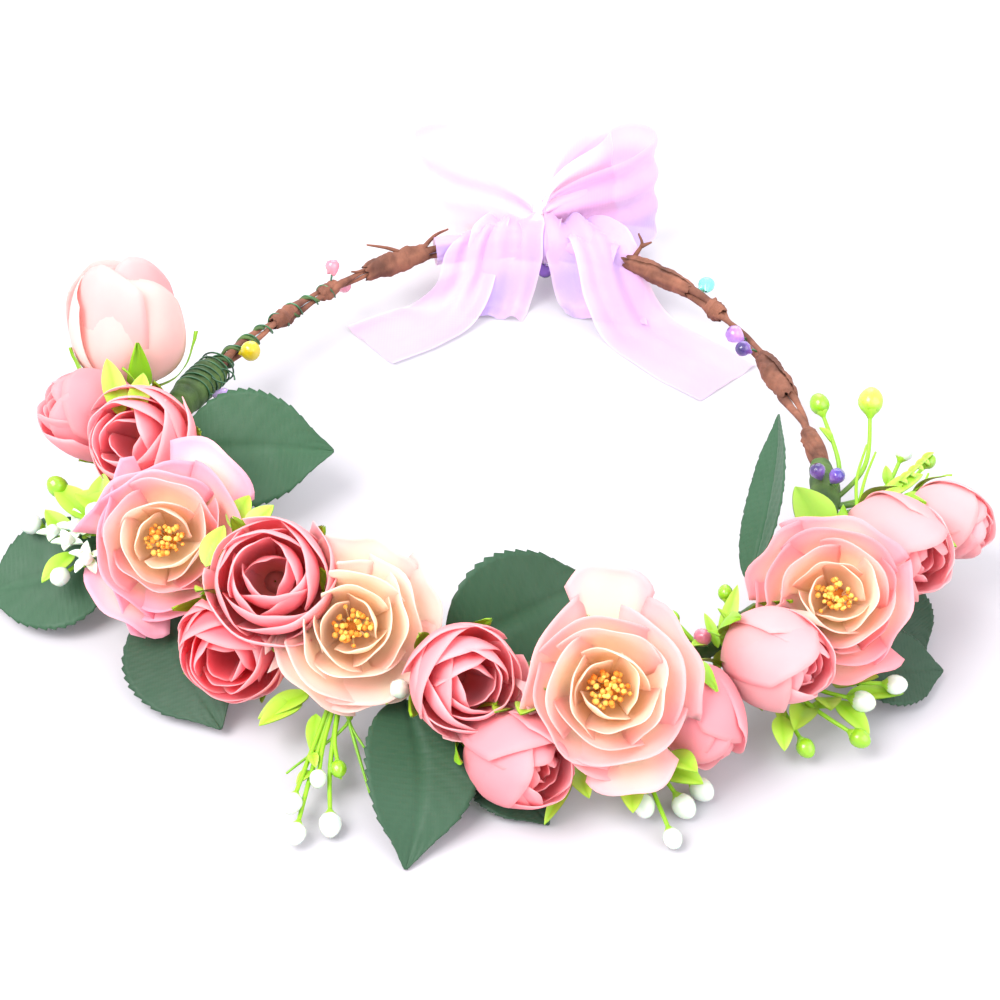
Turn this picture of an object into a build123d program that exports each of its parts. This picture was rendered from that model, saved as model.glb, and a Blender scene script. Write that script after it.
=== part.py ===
from build123d import *
import os
from math import cos, radians, sin, tan

# A flower crown: fabric roses, leaves and bud sprigs bound onto a wire hoop wrapped in two
# paper-bark strands, with a ribbon bow tied on at the back of the head.
# Millimetres. The origin is the centre of the hoop, in the hoop's own plane, and +Z is up through
# the crown as it is worn. -Y is the flowered front and +Y the back, where the bow is.
# Places on the crown are given round the hoop: an angle in degrees from +X towards +Y, how far
# outside the hoop's line, and how far above its plane.

os.makedirs("parts", exist_ok=True)

# ---- Driving dimensions --------------------------------------------------------------------
HOOP_RADIUS = 92.0        # mean radius of the hoop's line: about 56 cm of head
HOOP_OVAL = 0.035         # the hoop is longer front to back, as a head is
HOOP_POINT = 0.055        # and drawn out to a blunt point under the bow
HOOP_AXIS = 80.5          # direction of that point
ROUTE_STEP = 7.5          # degrees between the points that a round route turns at
TABLE = -16.0             # height of the table that the crown lies on

CORE_RADIUS = 0.45        # steel wire inside the hoop
STRAND_RADIUS = 0.95      # each of the two paper-bark strands
STRAND_OFFSET = 1.8       # distance of a strand's line from the wire's
STRAND_TURNS = 9          # turns that the strands make round the wire
TAPE_INNER = 2.9          # floral tape, round both strands
TAPE_OUTER = 3.5
TAPE_START = 158          # the tape covers the flowered front
TAPE_END = 352
BINDING_RADIUS = 0.3      # thin green wire wound on past the end of the tape
BINDING_TURNS = 7
BINDING_END = 122

STEM_RADIUS = 0.9         # rose and leaf stems
STEM_REACH = 5.0          # straight part of a stem behind its flower
CALYX_RADIUS = 3.6
CALYX_DEPTH = 3.5
SEPALS = 5
SEPAL_THICKNESS = 0.8
STAMEN_RADIUS = 3.2
STAMEN_HEIGHT = 2.6
RIM = 1.6                 # thickness of a petal bundle at its edge

LEAF_THICKNESS = 0.8
SPRIG_RADIUS = 0.7
SPRIG_BOW = 5.0           # how far a sprig stem bows outwards on its way
BUD_RADIUS = 2.3
SCRAP = 1.0               # volume of an offcut too small to keep
PIP_RADIUS = 2.6
PIP_WIRE_RADIUS = 0.4

RIBBON = 0.8              # thickness that the soft ribbon takes up with its folds
RIBBON_WIDTH = 40.0
WRAP_OUTER = 4.4          # ribbon wound on the back of the hoop
WRAP_START = 67
WRAP_END = 101
KNOT_ANGLE = 82           # where the bow is tied
KNOT_RADIUS = 7.0
LOOP_REACH = 38.0         # how far each loop of the bow stands out sideways
LOOP_DEPTH = 17.0         # and from its front to its back
LOOP_GATHER = 12.0        # height of the ribbon where it is gathered at the knot

# ---- The roses -----------------------------------------------------------------------------
# kind, angle round the hoop, out, up, compass heading of its face, how far that face looks up,
# radius of the petals, and where its stem joins the hoop
ROSES = [
    ("bud", 171.3, 10.6, 28, 100, 60, 14.7, 168),
    ("bud", 188, 12, 19, 190, 32, 11.3, 184),
    ("round", 198.9, -1.1, 23, 252, 42, 13.3, 194),
    ("open", 216.8, 3.0, 15, 272, 44, 19.0, 212),
    ("round", 237.6, 2.5, 22, 270, 50, 13.7, 229),
    ("round", 234.4, 12.0, 4, 258, 14, 12.7, 236),
    ("open", 249.8, 2.5, 13, 276, 44, 18.0, 250),
    ("round", 266.9, 12.5, 11, 293, 33, 12.3, 264),
    ("bud", 273.1, 23.5, -2, 305, 18, 11.3, 270),
    ("open", 283.4, 19.0, 14, 268, 45, 18.0, 281),
    ("bud", 294.7, 20.2, 1, 297, -35, 10.0, 290),
    ("bud", 305.1, 19.0, 9, 311, 20, 11.4, 301),
    ("open", 315.2, 16.9, 15, 260, 47, 17.0, 312),
    ("bud", 330.3, 20, 10, 300, 15, 12.5, 328),
    ("bud", 340, 33.5, 6, 322, 10, 10.2, 338),
]

# ---- The leaves ----------------------------------------------------------------------------
# base and tip, each as angle, out and up; heading and climb of the upper side; width; and where
# the stem joins the hoop
LEAVES = [
    ((184, -7, 0), (190.5, -50.5, 2), (270, 50), 33, 186),
    ((206.5, 10, -2.5), (201, 44, -11.5), (262, 60), 30, 207),
    ((216, 7, -4), (236, 22, -13), (262, 56), 30, 220),
    ((258, 8, -2), (262, 46, -15.3), (280, 58), 26, 257),
    ((263, -5, 2), (291, -25, 7), (275, 38), 33, 268),
    ((313, -8, 4), (340.5, -15, 27), (205, 18), 19, 314),
    ((330, 16, -5), (327, 33, -14.5), (300, 50), 20, 329),
    ((316, 22, -6), (325.5, 39, -13), (290, 62), 20, 318),
    ((268, 12, -8), (276, 32, -14.8), (280, 60), 20, 266),
]

# ---- Sprigs, with a bud at each tip --------------------------------------------------------
# where the sprig joins the hoop, then its tips as angle, out and up
SPRIGS = [
    (201, [(199.4, 27.7, 4), (204, 17.7, 8), (208.4, 25.1, 2), (206.2, 13.3, 14), (212.5, 20.5, 12),
           (197.2, 20.1, 10)]),
    (248, [(249.7, 37.5, -9), (251, 43, -12), (253.6, 38, -12.5), (251, 30, -8), (252.5, 26, -8)]),
    (287, [(292.5, 29, -12), (286, 31, -11), (290, 32, -12.5), (287.5, 40, -13)]),
    (307, [(313, 30.5, -6), (317, 33.5, -5), (310, 36, -9), (305.5, 29.5, -11)]),
    (341, [(356, -0.5, 15), (357, 13, 15), (350.5, 20, 8.5), (349.5, 26, 8)]),
    (303, [(308, -5, 8), (299, -6, 6)]),
]

# ---- Coloured pips on short wires, round the bare back of the hoop -------------------------
# where the wire joins the hoop, then the pip as angle, out and up
PIPS = [
    (151, (152, -6, 3)),
    (124, (122, 3, 5)),
    (121, (119.5, 4, -4)),
    (166, (164.5, -8, -1)),
    (82, (81, 3, -11)),
    (48, (49.5, 6.5, 0)),
    (32, (32.4, -4.5, 3.5)),
    (28, (28, -5, 3)),
    (346, (345.3, -2.6, 6.4)),
    (345, (344.0, 2.0, 7.4)),
    (300, (300.3, 2.5, 6.4)),
]


# ---- Places --------------------------------------------------------------------------------
def hoop_radius(angle):
    """Distance of the hoop's line from the origin, in that direction."""
    off = radians(angle - HOOP_AXIS)
    return HOOP_RADIUS * (1 + HOOP_OVAL * cos(2 * off) + HOOP_POINT * cos(3 * off))


def by_hoop(angle, out=0.0, up=0.0):
    """A point given by its place on the hoop."""
    reach = hoop_radius(angle) + out
    return Vector(reach * cos(radians(angle)), reach * sin(radians(angle)), up)


def direction(heading, climb):
    """A unit vector from a compass heading and an elevation."""
    level = cos(radians(climb))
    return Vector(level * cos(radians(heading)), level * sin(radians(heading)), sin(radians(climb)))


def upright(place):
    """The plane through a place's axis: x is outwards from the axis and y is along it."""
    return Plane(origin=place.origin, x_dir=place.x_dir, z_dir=-place.y_dir)


def rounded_path(points):
    """Straight runs joined by tangent arcs, each as large as its two runs allow."""
    radii = []
    for before, corner, after in zip(points, points[1:], points[2:]):
        turn = (corner - before).get_angle(after - corner)
        run = min((corner - before).length, (after - corner).length)
        radii.append(0.45 * run / tan(radians(turn / 2)))
    return FilletPolyline(*points, radius=radii)


def hoop_run(start, end, steps=0, out=0.0, up=0.0, turns=0.0, phase=0.0):
    """Points along the hoop from one angle to another, winding round its line if asked to."""
    steps = steps or round(abs(end - start) / ROUTE_STEP)
    points = []
    for step in range(steps + 1):
        share = step / steps
        wind = radians(phase + 360 * turns * share)
        aside = out * cos(wind) - up * sin(wind)
        above = out * sin(wind) + up * cos(wind)
        points.append(by_hoop(start + (end - start) * share, aside, above))
    return points


def overlap(a, b):
    """True if the boxes of two shapes meet."""
    one, two = a.bounding_box(), b.bounding_box()
    return not (
        one.max.X < two.min.X or two.max.X < one.min.X
        or one.max.Y < two.min.Y or two.max.Y < one.min.Y
        or one.max.Z < two.min.Z or two.max.Z < one.min.Z
    )


def give_way(piece, others, keep_all=False):
    """Cuts a soft piece back to where it presses on the others, and keeps its main solid."""
    with BuildPart() as trimmed:
        add(piece)
        for other in others:
            if overlap(piece, other):
                add(other, mode=Mode.SUBTRACT)
    with BuildPart() as kept:
        by_size = trimmed.part.solids().sort_by(SortBy.VOLUME)
        add([s for s in by_size if s.volume > SCRAP] if keep_all else by_size[-1])
    return kept


def write(piece, name):
    """Labels a finished piece and writes its STEP file."""
    piece.part.label = name
    export_step(piece.part, f"parts/{name}.step")


# ---- The hoop ------------------------------------------------------------------------------
def hoop_tube(points, outer, inner=0.0):
    """A round tube or rod that follows the points."""
    with BuildPart() as tube:
        with BuildLine() as path:
            rounded_path(points)
        with BuildSketch(Plane(origin=path.line @ 0, z_dir=path.line % 0)):
            Circle(outer)
            if inner:
                Circle(inner, mode=Mode.SUBTRACT)
        sweep()
    return tube


ends_apart = 0.5
hoop_start = KNOT_ANGLE + ends_apart
hoop_end = KNOT_ANGLE + 360 - ends_apart
strand_steps = STRAND_TURNS * 8

hoop_wire = hoop_tube(hoop_run(hoop_start, hoop_end), CORE_RADIUS)
write(hoop_wire, "hoop_wire")

for letter, phase in (("a", 0), ("b", 180)):
    route = hoop_run(
        hoop_start, hoop_end, strand_steps, STRAND_OFFSET, turns=STRAND_TURNS, phase=phase
    )
    strand = hoop_tube(route, STRAND_RADIUS)
    write(strand, f"vine_strand_{letter}")

tape_run = hoop_run(TAPE_START, TAPE_END)
floral_tape = hoop_tube(tape_run, TAPE_OUTER, TAPE_INNER)
write(floral_tape, "floral_tape")
tape_core = hoop_tube(tape_run, TAPE_OUTER).part

binding_offset = TAPE_INNER + 2 * BINDING_RADIUS
binding_wire = hoop_tube(
    hoop_run(TAPE_START - 1, BINDING_END, BINDING_TURNS * 8, binding_offset, turns=BINDING_TURNS),
    BINDING_RADIUS,
)
write(binding_wire, "binding_wire")


# ---- Roses ---------------------------------------------------------------------------------
def open_petals(place, radius):
    """A full-blown rose: a dish of outer petals round a raised cup, with a hollow for stamens."""
    height = 0.62 * radius
    cup = 0.52 * radius
    with BuildPart() as petals:
        with BuildSketch(upright(place)):
            with BuildLine():
                Line((0, 0), (CALYX_RADIUS, 0))
                ThreePointArc((CALYX_RADIUS, 0), (0.72 * radius, 0.3 * height), (radius, height))
                Line((radius, height), (radius - RIM, height))
                Line((radius - RIM, height), (cup + RIM, 0.72 * height))
                Line((cup + RIM, 0.72 * height), (cup, 1.12 * height))
                Line((cup, 1.12 * height), (STAMEN_RADIUS + 1, 0.5 * height))
                Line((STAMEN_RADIUS + 1, 0.5 * height), (0, 0.5 * height))
                Line((0, 0.5 * height), (0, 0))
            make_face()
        revolve(axis=Axis(place.origin, place.z_dir))
    return petals


def round_petals(place, radius):
    """A ranunculus: a ball of close petals with a dimple at its middle."""
    height = 1.75 * radius
    mouth = 0.42 * radius
    with BuildPart() as petals:
        with BuildSketch(upright(place)):
            with BuildLine():
                Line((0, 0), (CALYX_RADIUS, 0))
                ThreePointArc((CALYX_RADIUS, 0), (radius, 0.48 * height), (mouth, height))
                Line((mouth, height), (0, 0.86 * height))
                Line((0, 0.86 * height), (0, 0))
            make_face()
        revolve(axis=Axis(place.origin, place.z_dir))
    return petals


def bud_petals(place, radius):
    """A half-open bud: an egg, longer than it is wide, drawn in to a narrow mouth."""
    height = 2.35 * radius
    mouth = 0.5 * radius
    with BuildPart() as petals:
        with BuildSketch(upright(place)):
            with BuildLine():
                Line((0, 0), (CALYX_RADIUS, 0))
                Bezier((CALYX_RADIUS, 0), (1.2 * radius, 0.04 * height),
                       (1.25 * radius, 0.72 * height), (mouth, height))
                Line((mouth, height), (0, 0.9 * height))
                Line((0, 0.9 * height), (0, 0))
            make_face()
        revolve(axis=Axis(place.origin, place.z_dir))
    return petals


MAKERS = {"open": open_petals, "round": round_petals, "bud": bud_petals}
MIDDLES = {"open": 0.31, "round": 0.85, "bud": 1.15}   # height of the middle, in radii
SEPAL_REACH = {"open": 7.5, "round": 7.0, "bud": 7.5}


def rose_place(rose):
    """The plane that a rose grows from: its origin under the petals and +z out of its face."""
    kind, angle, out, up, heading, climb, radius, _ = rose
    face = direction(heading, climb)
    return Plane(origin=by_hoop(angle, out, up) - face * (MIDDLES[kind] * radius), z_dir=face)


def calyx(place, sepal_reach, root):
    """The green cup and sepals under a rose, and the stem that is bound to the hoop."""
    neck = place.origin - place.z_dir * CALYX_DEPTH * 0.6
    knee = place.origin - place.z_dir * (CALYX_DEPTH + STEM_REACH)
    with BuildPart() as cup:
        with BuildSketch(place):
            for sepal in range(SEPALS):
                with Locations(Rotation(0, 0, 360 * sepal / SEPALS)):
                    Polygon((0, -2.4), (0.6 * sepal_reach, -2.1), (sepal_reach, 0),
                            (0.6 * sepal_reach, 2.1), (0, 2.4), align=None)
        extrude(amount=-SEPAL_THICKNESS)
        with BuildSketch(upright(place)):
            Polygon((0, 0), (CALYX_RADIUS, 0), (STEM_RADIUS, -CALYX_DEPTH), (0, -CALYX_DEPTH),
                    align=None)
        revolve(axis=Axis(place.origin, place.z_dir))
        with BuildLine() as path:
            rounded_path([neck, knee, by_hoop(root)])
        with BuildSketch(Plane(origin=path.line @ 0, z_dir=path.line % 0)):
            Circle(STEM_RADIUS)
        sweep()
    return cup


petal_solids = []
calyx_solids = []
stamen_places = []
for number, rose in enumerate(ROSES, start=1):
    kind, radius, root = rose[0], rose[6], rose[7]
    place = rose_place(rose)
    petals = give_way(MAKERS[kind](place, radius).part, petal_solids + [tape_core])
    write(petals, f"rose_{number:02d}_petals")
    petal_solids.append(petals.part)
    calyx_solids.append((number, calyx(place, SEPAL_REACH[kind], root).part))
    if kind == "open":
        stamen_places.append(place.offset(0.31 * radius))

green_solids = []
for number, solid in calyx_solids:
    cup = give_way(solid, [tape_core] + petal_solids + green_solids)
    write(cup, f"rose_{number:02d}_calyx")
    green_solids.append(cup.part)

with BuildPart() as stamens:
    for place in stamen_places:
        with BuildSketch(place):
            Circle(STAMEN_RADIUS)
        extrude(amount=STAMEN_HEIGHT, taper=20)
write(stamens, "stamens")


# ---- Leaves --------------------------------------------------------------------------------
def leaf(base, tip, face, width, root):
    """A pointed blade from base to tip, with the stem that is bound to the hoop."""
    start, end = by_hoop(*base), by_hoop(*tip)
    along = (end - start).normalized()
    length = (end - start).length
    across = direction(*face).cross(along)
    blade_plane = Plane(origin=start, x_dir=along, z_dir=along.cross(across))
    with BuildPart() as blade:
        with BuildSketch(blade_plane):
            with BuildLine():
                ThreePointArc((0, 0), (0.48 * length, width / 2), (length, 0))
                ThreePointArc((length, 0), (0.48 * length, -width / 2), (0, 0))
            make_face()
        extrude(amount=LEAF_THICKNESS / 2, both=True)
        with BuildLine() as path:
            Line(start + along * 4, by_hoop(root))
        with BuildSketch(Plane(origin=path.line @ 0, z_dir=path.line % 0)):
            Circle(STEM_RADIUS)
        sweep()
    return blade


for number, row in enumerate(LEAVES, start=1):
    blade = give_way(leaf(*row).part, [tape_core] + petal_solids + green_solids)
    write(blade, f"leaf_{number:02d}")
    green_solids.append(blade.part)


# ---- Sprigs and their buds -----------------------------------------------------------------
bud_solids = []
for number, (root, tips) in enumerate(SPRIGS, start=1):
    with BuildPart() as stems:
        for tip in tips:
            start, end = by_hoop(root), by_hoop(*tip)
            bend = start + (end - start) * 0.5 + direction(root, -25) * SPRIG_BOW
            with BuildLine() as path:
                rounded_path([start, bend, end])
            with BuildSketch(Plane(origin=path.line @ 0, z_dir=path.line % 0)):
                Circle(SPRIG_RADIUS)
            sweep()
    with BuildPart() as buds:
        with Locations(*[by_hoop(*tip) for tip in tips]):
            Sphere(BUD_RADIUS)
    trimmed = give_way(stems.part, [tape_core, buds.part] + petal_solids + green_solids, True)
    write(trimmed, f"sprig_{number}_stems")
    green_solids.append(trimmed.part)
    bud_solids.append(buds.part)

with BuildPart() as sprig_buds:
    for solid in bud_solids:
        add(solid)
write(sprig_buds, "sprig_buds")


# ---- The ribbon ----------------------------------------------------------------------------
wrap_run = hoop_run(WRAP_START, WRAP_END)
ribbon_wrap = hoop_tube(wrap_run, WRAP_OUTER, TAPE_INNER)
write(ribbon_wrap, "ribbon_wrap")
wrap_core = hoop_tube(wrap_run, WRAP_OUTER).part

knot_middle = by_hoop(KNOT_ANGLE)
with BuildPart() as bow_knot:
    with BuildSketch(Plane.XY.offset(-KNOT_RADIUS)):
        with Locations((knot_middle.X, knot_middle.Y + 2)):
            RectangleRounded(14, 2 * KNOT_RADIUS + 2, 4)
    extrude(amount=2 * KNOT_RADIUS)
    fillet(bow_knot.edges().group_by(Axis.Z)[-1] + bow_knot.edges().group_by(Axis.Z)[0], 3)
    add(wrap_core, mode=Mode.SUBTRACT)
write(bow_knot, "bow_knot")

loop_root = (knot_middle.X, knot_middle.Y + KNOT_RADIUS + 4.2)
with BuildPart() as bow_loops:
    for side in (-1, 1):
        with BuildSketch(Plane.XY.offset(TABLE)) as plan:
            with BuildLine():
                start = (loop_root[0] + side * 1.5, loop_root[1])
                far = (loop_root[0] + side * LOOP_REACH, loop_root[1] + 0.5 * LOOP_DEPTH)
                back = (loop_root[0] + side * 0.6 * LOOP_REACH, loop_root[1] + LOOP_DEPTH)
                front = (loop_root[0] + side * 0.6 * LOOP_REACH, loop_root[1] - 1)
                ThreePointArc(start, back, far)
                ThreePointArc(far, front, start)
            make_face()
            offset(amount=-RIBBON, mode=Mode.SUBTRACT)
        extrude(amount=RIBBON_WIDTH)
    with BuildSketch(Plane.XZ):
        with Locations((knot_middle.X, 0)):
            Polygon(
                (0, -LOOP_GATHER / 2), (0.55 * LOOP_REACH, TABLE), (LOOP_REACH + 1, TABLE),
                (LOOP_REACH + 1, TABLE + RIBBON_WIDTH), (0.4 * LOOP_REACH, TABLE + RIBBON_WIDTH),
                (0, LOOP_GATHER / 2), (-0.4 * LOOP_REACH, TABLE + RIBBON_WIDTH),
                (-LOOP_REACH - 1, TABLE + RIBBON_WIDTH), (-LOOP_REACH - 1, TABLE),
                (-0.55 * LOOP_REACH, TABLE), align=None,
            )
    extrude(amount=-200, mode=Mode.INTERSECT)
write(bow_loops, "bow_loops")


# ---- Pips ----------------------------------------------------------------------------------
with BuildPart() as berry_pips:
    with Locations(*[by_hoop(*pip) for _, pip in PIPS]):
        Sphere(PIP_RADIUS)
write(berry_pips, "berry_pips")

with BuildPart() as pip_wires:
    for root, pip in PIPS:
        inner, outer = by_hoop(root), by_hoop(*pip)
        toward = (outer - inner).normalized()
        with BuildSketch(Plane(origin=inner + toward * (TAPE_OUTER + 0.1), z_dir=toward)):
            Circle(PIP_WIRE_RADIUS)
        extrude(amount=(outer - inner).length - TAPE_OUTER)
    for solid in [berry_pips.part, tape_core, wrap_core, bow_knot.part] + green_solids:
        if overlap(pip_wires.part, solid):
            add(solid, mode=Mode.SUBTRACT)
write(pip_wires, "pip_wires")


# The free ends of the ribbon hang from the hoop and, at rest, lie on the table inside the ring.
def ribbon_tail(hinge, heading, length, narrow, wide):
    """A strip that leaves the hoop at the hinge, drops to the table and lies along it."""
    ahead = direction(heading, 0)
    slope = Plane(origin=(hinge.X, hinge.Y, 0), x_dir=ahead, z_dir=ahead.cross(Vector(0, 0, 1)))
    drop = 12.0
    with BuildPart() as tail:
        with BuildSketch(slope):
            with BuildLine():
                Polyline(
                    (0, hinge.Z), (drop, TABLE), (length, TABLE), (length, TABLE + RIBBON),
                    (drop + 0.5, TABLE + RIBBON), (0.9, hinge.Z + 0.4), close=True,
                )
            make_face()
        extrude(amount=wide / 2, both=True)
        with BuildSketch(Plane(origin=(hinge.X, hinge.Y, TABLE - 1), x_dir=ahead, z_dir=(0, 0, 1))):
            Polygon(
                (0, -narrow / 2), (0.5 * length, -wide / 2), (length, -wide / 2),
                (length - 6, wide / 2), (0.5 * length, wide / 2), (0, narrow / 2), align=None,
            )
        extrude(amount=40, mode=Mode.INTERSECT)
    return tail


TAILS = {
    "left": (Vector(-7, 90, -6), 216, 46, 12, 26),
    "right": (Vector(37, 84, -6), 312, 50, 12, 26),
}
for side, row in TAILS.items():
    tail = ribbon_tail(*row)
    write(tail, f"ribbon_tail_{side}")
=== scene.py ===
from math import cos, pi, radians, sin

import bpy
import numpy as np
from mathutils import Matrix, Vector


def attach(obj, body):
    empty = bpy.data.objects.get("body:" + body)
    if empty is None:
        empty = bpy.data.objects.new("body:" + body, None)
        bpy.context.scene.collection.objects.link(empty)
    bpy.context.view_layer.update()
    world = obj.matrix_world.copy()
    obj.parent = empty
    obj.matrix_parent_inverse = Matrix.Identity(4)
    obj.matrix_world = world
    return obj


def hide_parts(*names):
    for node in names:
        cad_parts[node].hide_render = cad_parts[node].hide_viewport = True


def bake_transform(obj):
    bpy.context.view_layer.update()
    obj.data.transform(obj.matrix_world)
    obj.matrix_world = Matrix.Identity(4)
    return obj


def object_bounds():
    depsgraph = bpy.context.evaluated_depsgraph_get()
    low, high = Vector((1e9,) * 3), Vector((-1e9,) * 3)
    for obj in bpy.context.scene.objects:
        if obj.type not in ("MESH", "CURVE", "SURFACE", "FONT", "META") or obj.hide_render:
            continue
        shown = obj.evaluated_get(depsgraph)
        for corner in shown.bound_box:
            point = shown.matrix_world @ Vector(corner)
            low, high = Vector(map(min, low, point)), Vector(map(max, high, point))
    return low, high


# A flower crown: fabric roses, leaves and bud sprigs on a twig-wrapped hoop with an organza bow.
# Shapes are worked out in millimetres and written to meshes in metres. Places on the crown are
# given round the hoop, as in the CAD model: an angle from +X towards +Y, how far outside the
# hoop's line, and how far above its plane.

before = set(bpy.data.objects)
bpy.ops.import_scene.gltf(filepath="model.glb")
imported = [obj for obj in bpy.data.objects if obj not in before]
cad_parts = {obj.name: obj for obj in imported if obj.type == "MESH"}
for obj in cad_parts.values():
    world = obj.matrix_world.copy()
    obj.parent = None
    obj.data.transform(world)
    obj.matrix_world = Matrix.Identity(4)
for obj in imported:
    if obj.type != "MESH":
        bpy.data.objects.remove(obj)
cad_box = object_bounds()
MM = 0.001
TABLE = cad_box[0].z / MM

HOOP_RADIUS = 92.0
HOOP_OVAL = 0.035
HOOP_POINT = 0.055
HOOP_AXIS = 80.5
TAPE_START, TAPE_END = 158, 352
BINDING_END = 122
WRAP_START, WRAP_END = 67, 101
RIBBON_WIDTH = 40.0
CLOTH = 0.22              # thickness of petal cloth
LEAF_CLOTH = 0.4
FILAMENTS = 46            # stamens in one open rose
UP = np.array([0.0, 0.0, 1.0])


# ---- Places ------------------------------------------------------------------------------------
def hoop_radius(angle):
    off = np.radians(np.asarray(angle, float) - HOOP_AXIS)
    return HOOP_RADIUS * (1 + HOOP_OVAL * np.cos(2 * off) + HOOP_POINT * np.cos(3 * off))


def by_hoop(angle, out=0.0, up=0.0):
    """A point given by its place on the hoop."""
    reach = hoop_radius(angle) + out
    turn = np.radians(np.asarray(angle, float))
    return np.stack([reach * np.cos(turn), reach * np.sin(turn), up + 0 * turn], -1)


def direction(heading, climb):
    level = cos(radians(climb))
    return np.array([level * cos(radians(heading)), level * sin(radians(heading)), sin(radians(climb))])


def unit(v):
    v = np.asarray(v, float)
    return v / np.maximum(np.linalg.norm(v, axis=-1, keepdims=True), 1e-9)


def facing(face):
    """Axes of a piece that faces that way: to its right, to its top, and out of its face."""
    face = unit(face)
    side = unit(np.cross(UP, face)) if abs(face[2]) < 0.98 else np.array([1.0, 0.0, 0.0])
    return np.stack([side, np.cross(face, side), face])


def smooth(low, high, x):
    t = np.clip((x - low) / (high - low), 0, 1)
    return t * t * (3 - 2 * t)


def along_curve(points, count):
    """Evenly spread points of a smooth curve through the given ones."""
    pts = np.asarray(points, float)
    ext = np.vstack([2 * pts[0] - pts[1], pts, 2 * pts[-1] - pts[-2]])
    made = []
    for i in range(len(pts) - 1):
        p0, p1, p2, p3 = ext[i:i + 4]
        t = np.linspace(0, 1, 24, endpoint=False)[:, None]
        made.append(0.5 * (2 * p1 + (p2 - p0) * t + (2 * p0 - 5 * p1 + 4 * p2 - p3) * t ** 2
                           + (3 * p1 - p0 - 3 * p2 + p3) * t ** 3))
    line = np.vstack(made + [pts[-1:]])
    gone = np.concatenate([[0], np.cumsum(np.linalg.norm(np.diff(line, axis=0), axis=1))])
    want = np.linspace(0, gone[-1], count)
    return np.stack([np.interp(want, gone, line[:, k]) for k in range(3)], -1)


# ---- Colours -----------------------------------------------------------------------------------
def shade(red, green, blue):
    """A colour named by its 0-255 screen values, as the linear values that a shader takes."""
    s = np.array([red, green, blue], float) / 255
    return np.where(s <= 0.04045, s / 12.92, ((s + 0.055) / 1.055) ** 2.4)


def mixed(a, b, share):
    share = np.asarray(share, float)[..., None]
    return a * (1 - share) + b * share


WHITE = shade(255, 230, 224)
CREAM = shade(255, 243, 222)
PEACH = shade(255, 229, 186)
HONEY = shade(255, 216, 142)
BLUSH = shade(255, 211, 213)
PINK = shade(255, 190, 198)
ROSY = shade(255, 172, 182)
CORAL = shade(255, 146, 138)
SALMON = shade(255, 188, 172)
DEEP_PINK = shade(255, 146, 160)
LILAC = shade(255, 198, 214)
LIME = shade(136, 188, 30)
PALE_LIME = shade(178, 214, 84)
STEM_GREEN = shade(92, 148, 34)
MOSS = shade(70, 100, 40)


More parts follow.
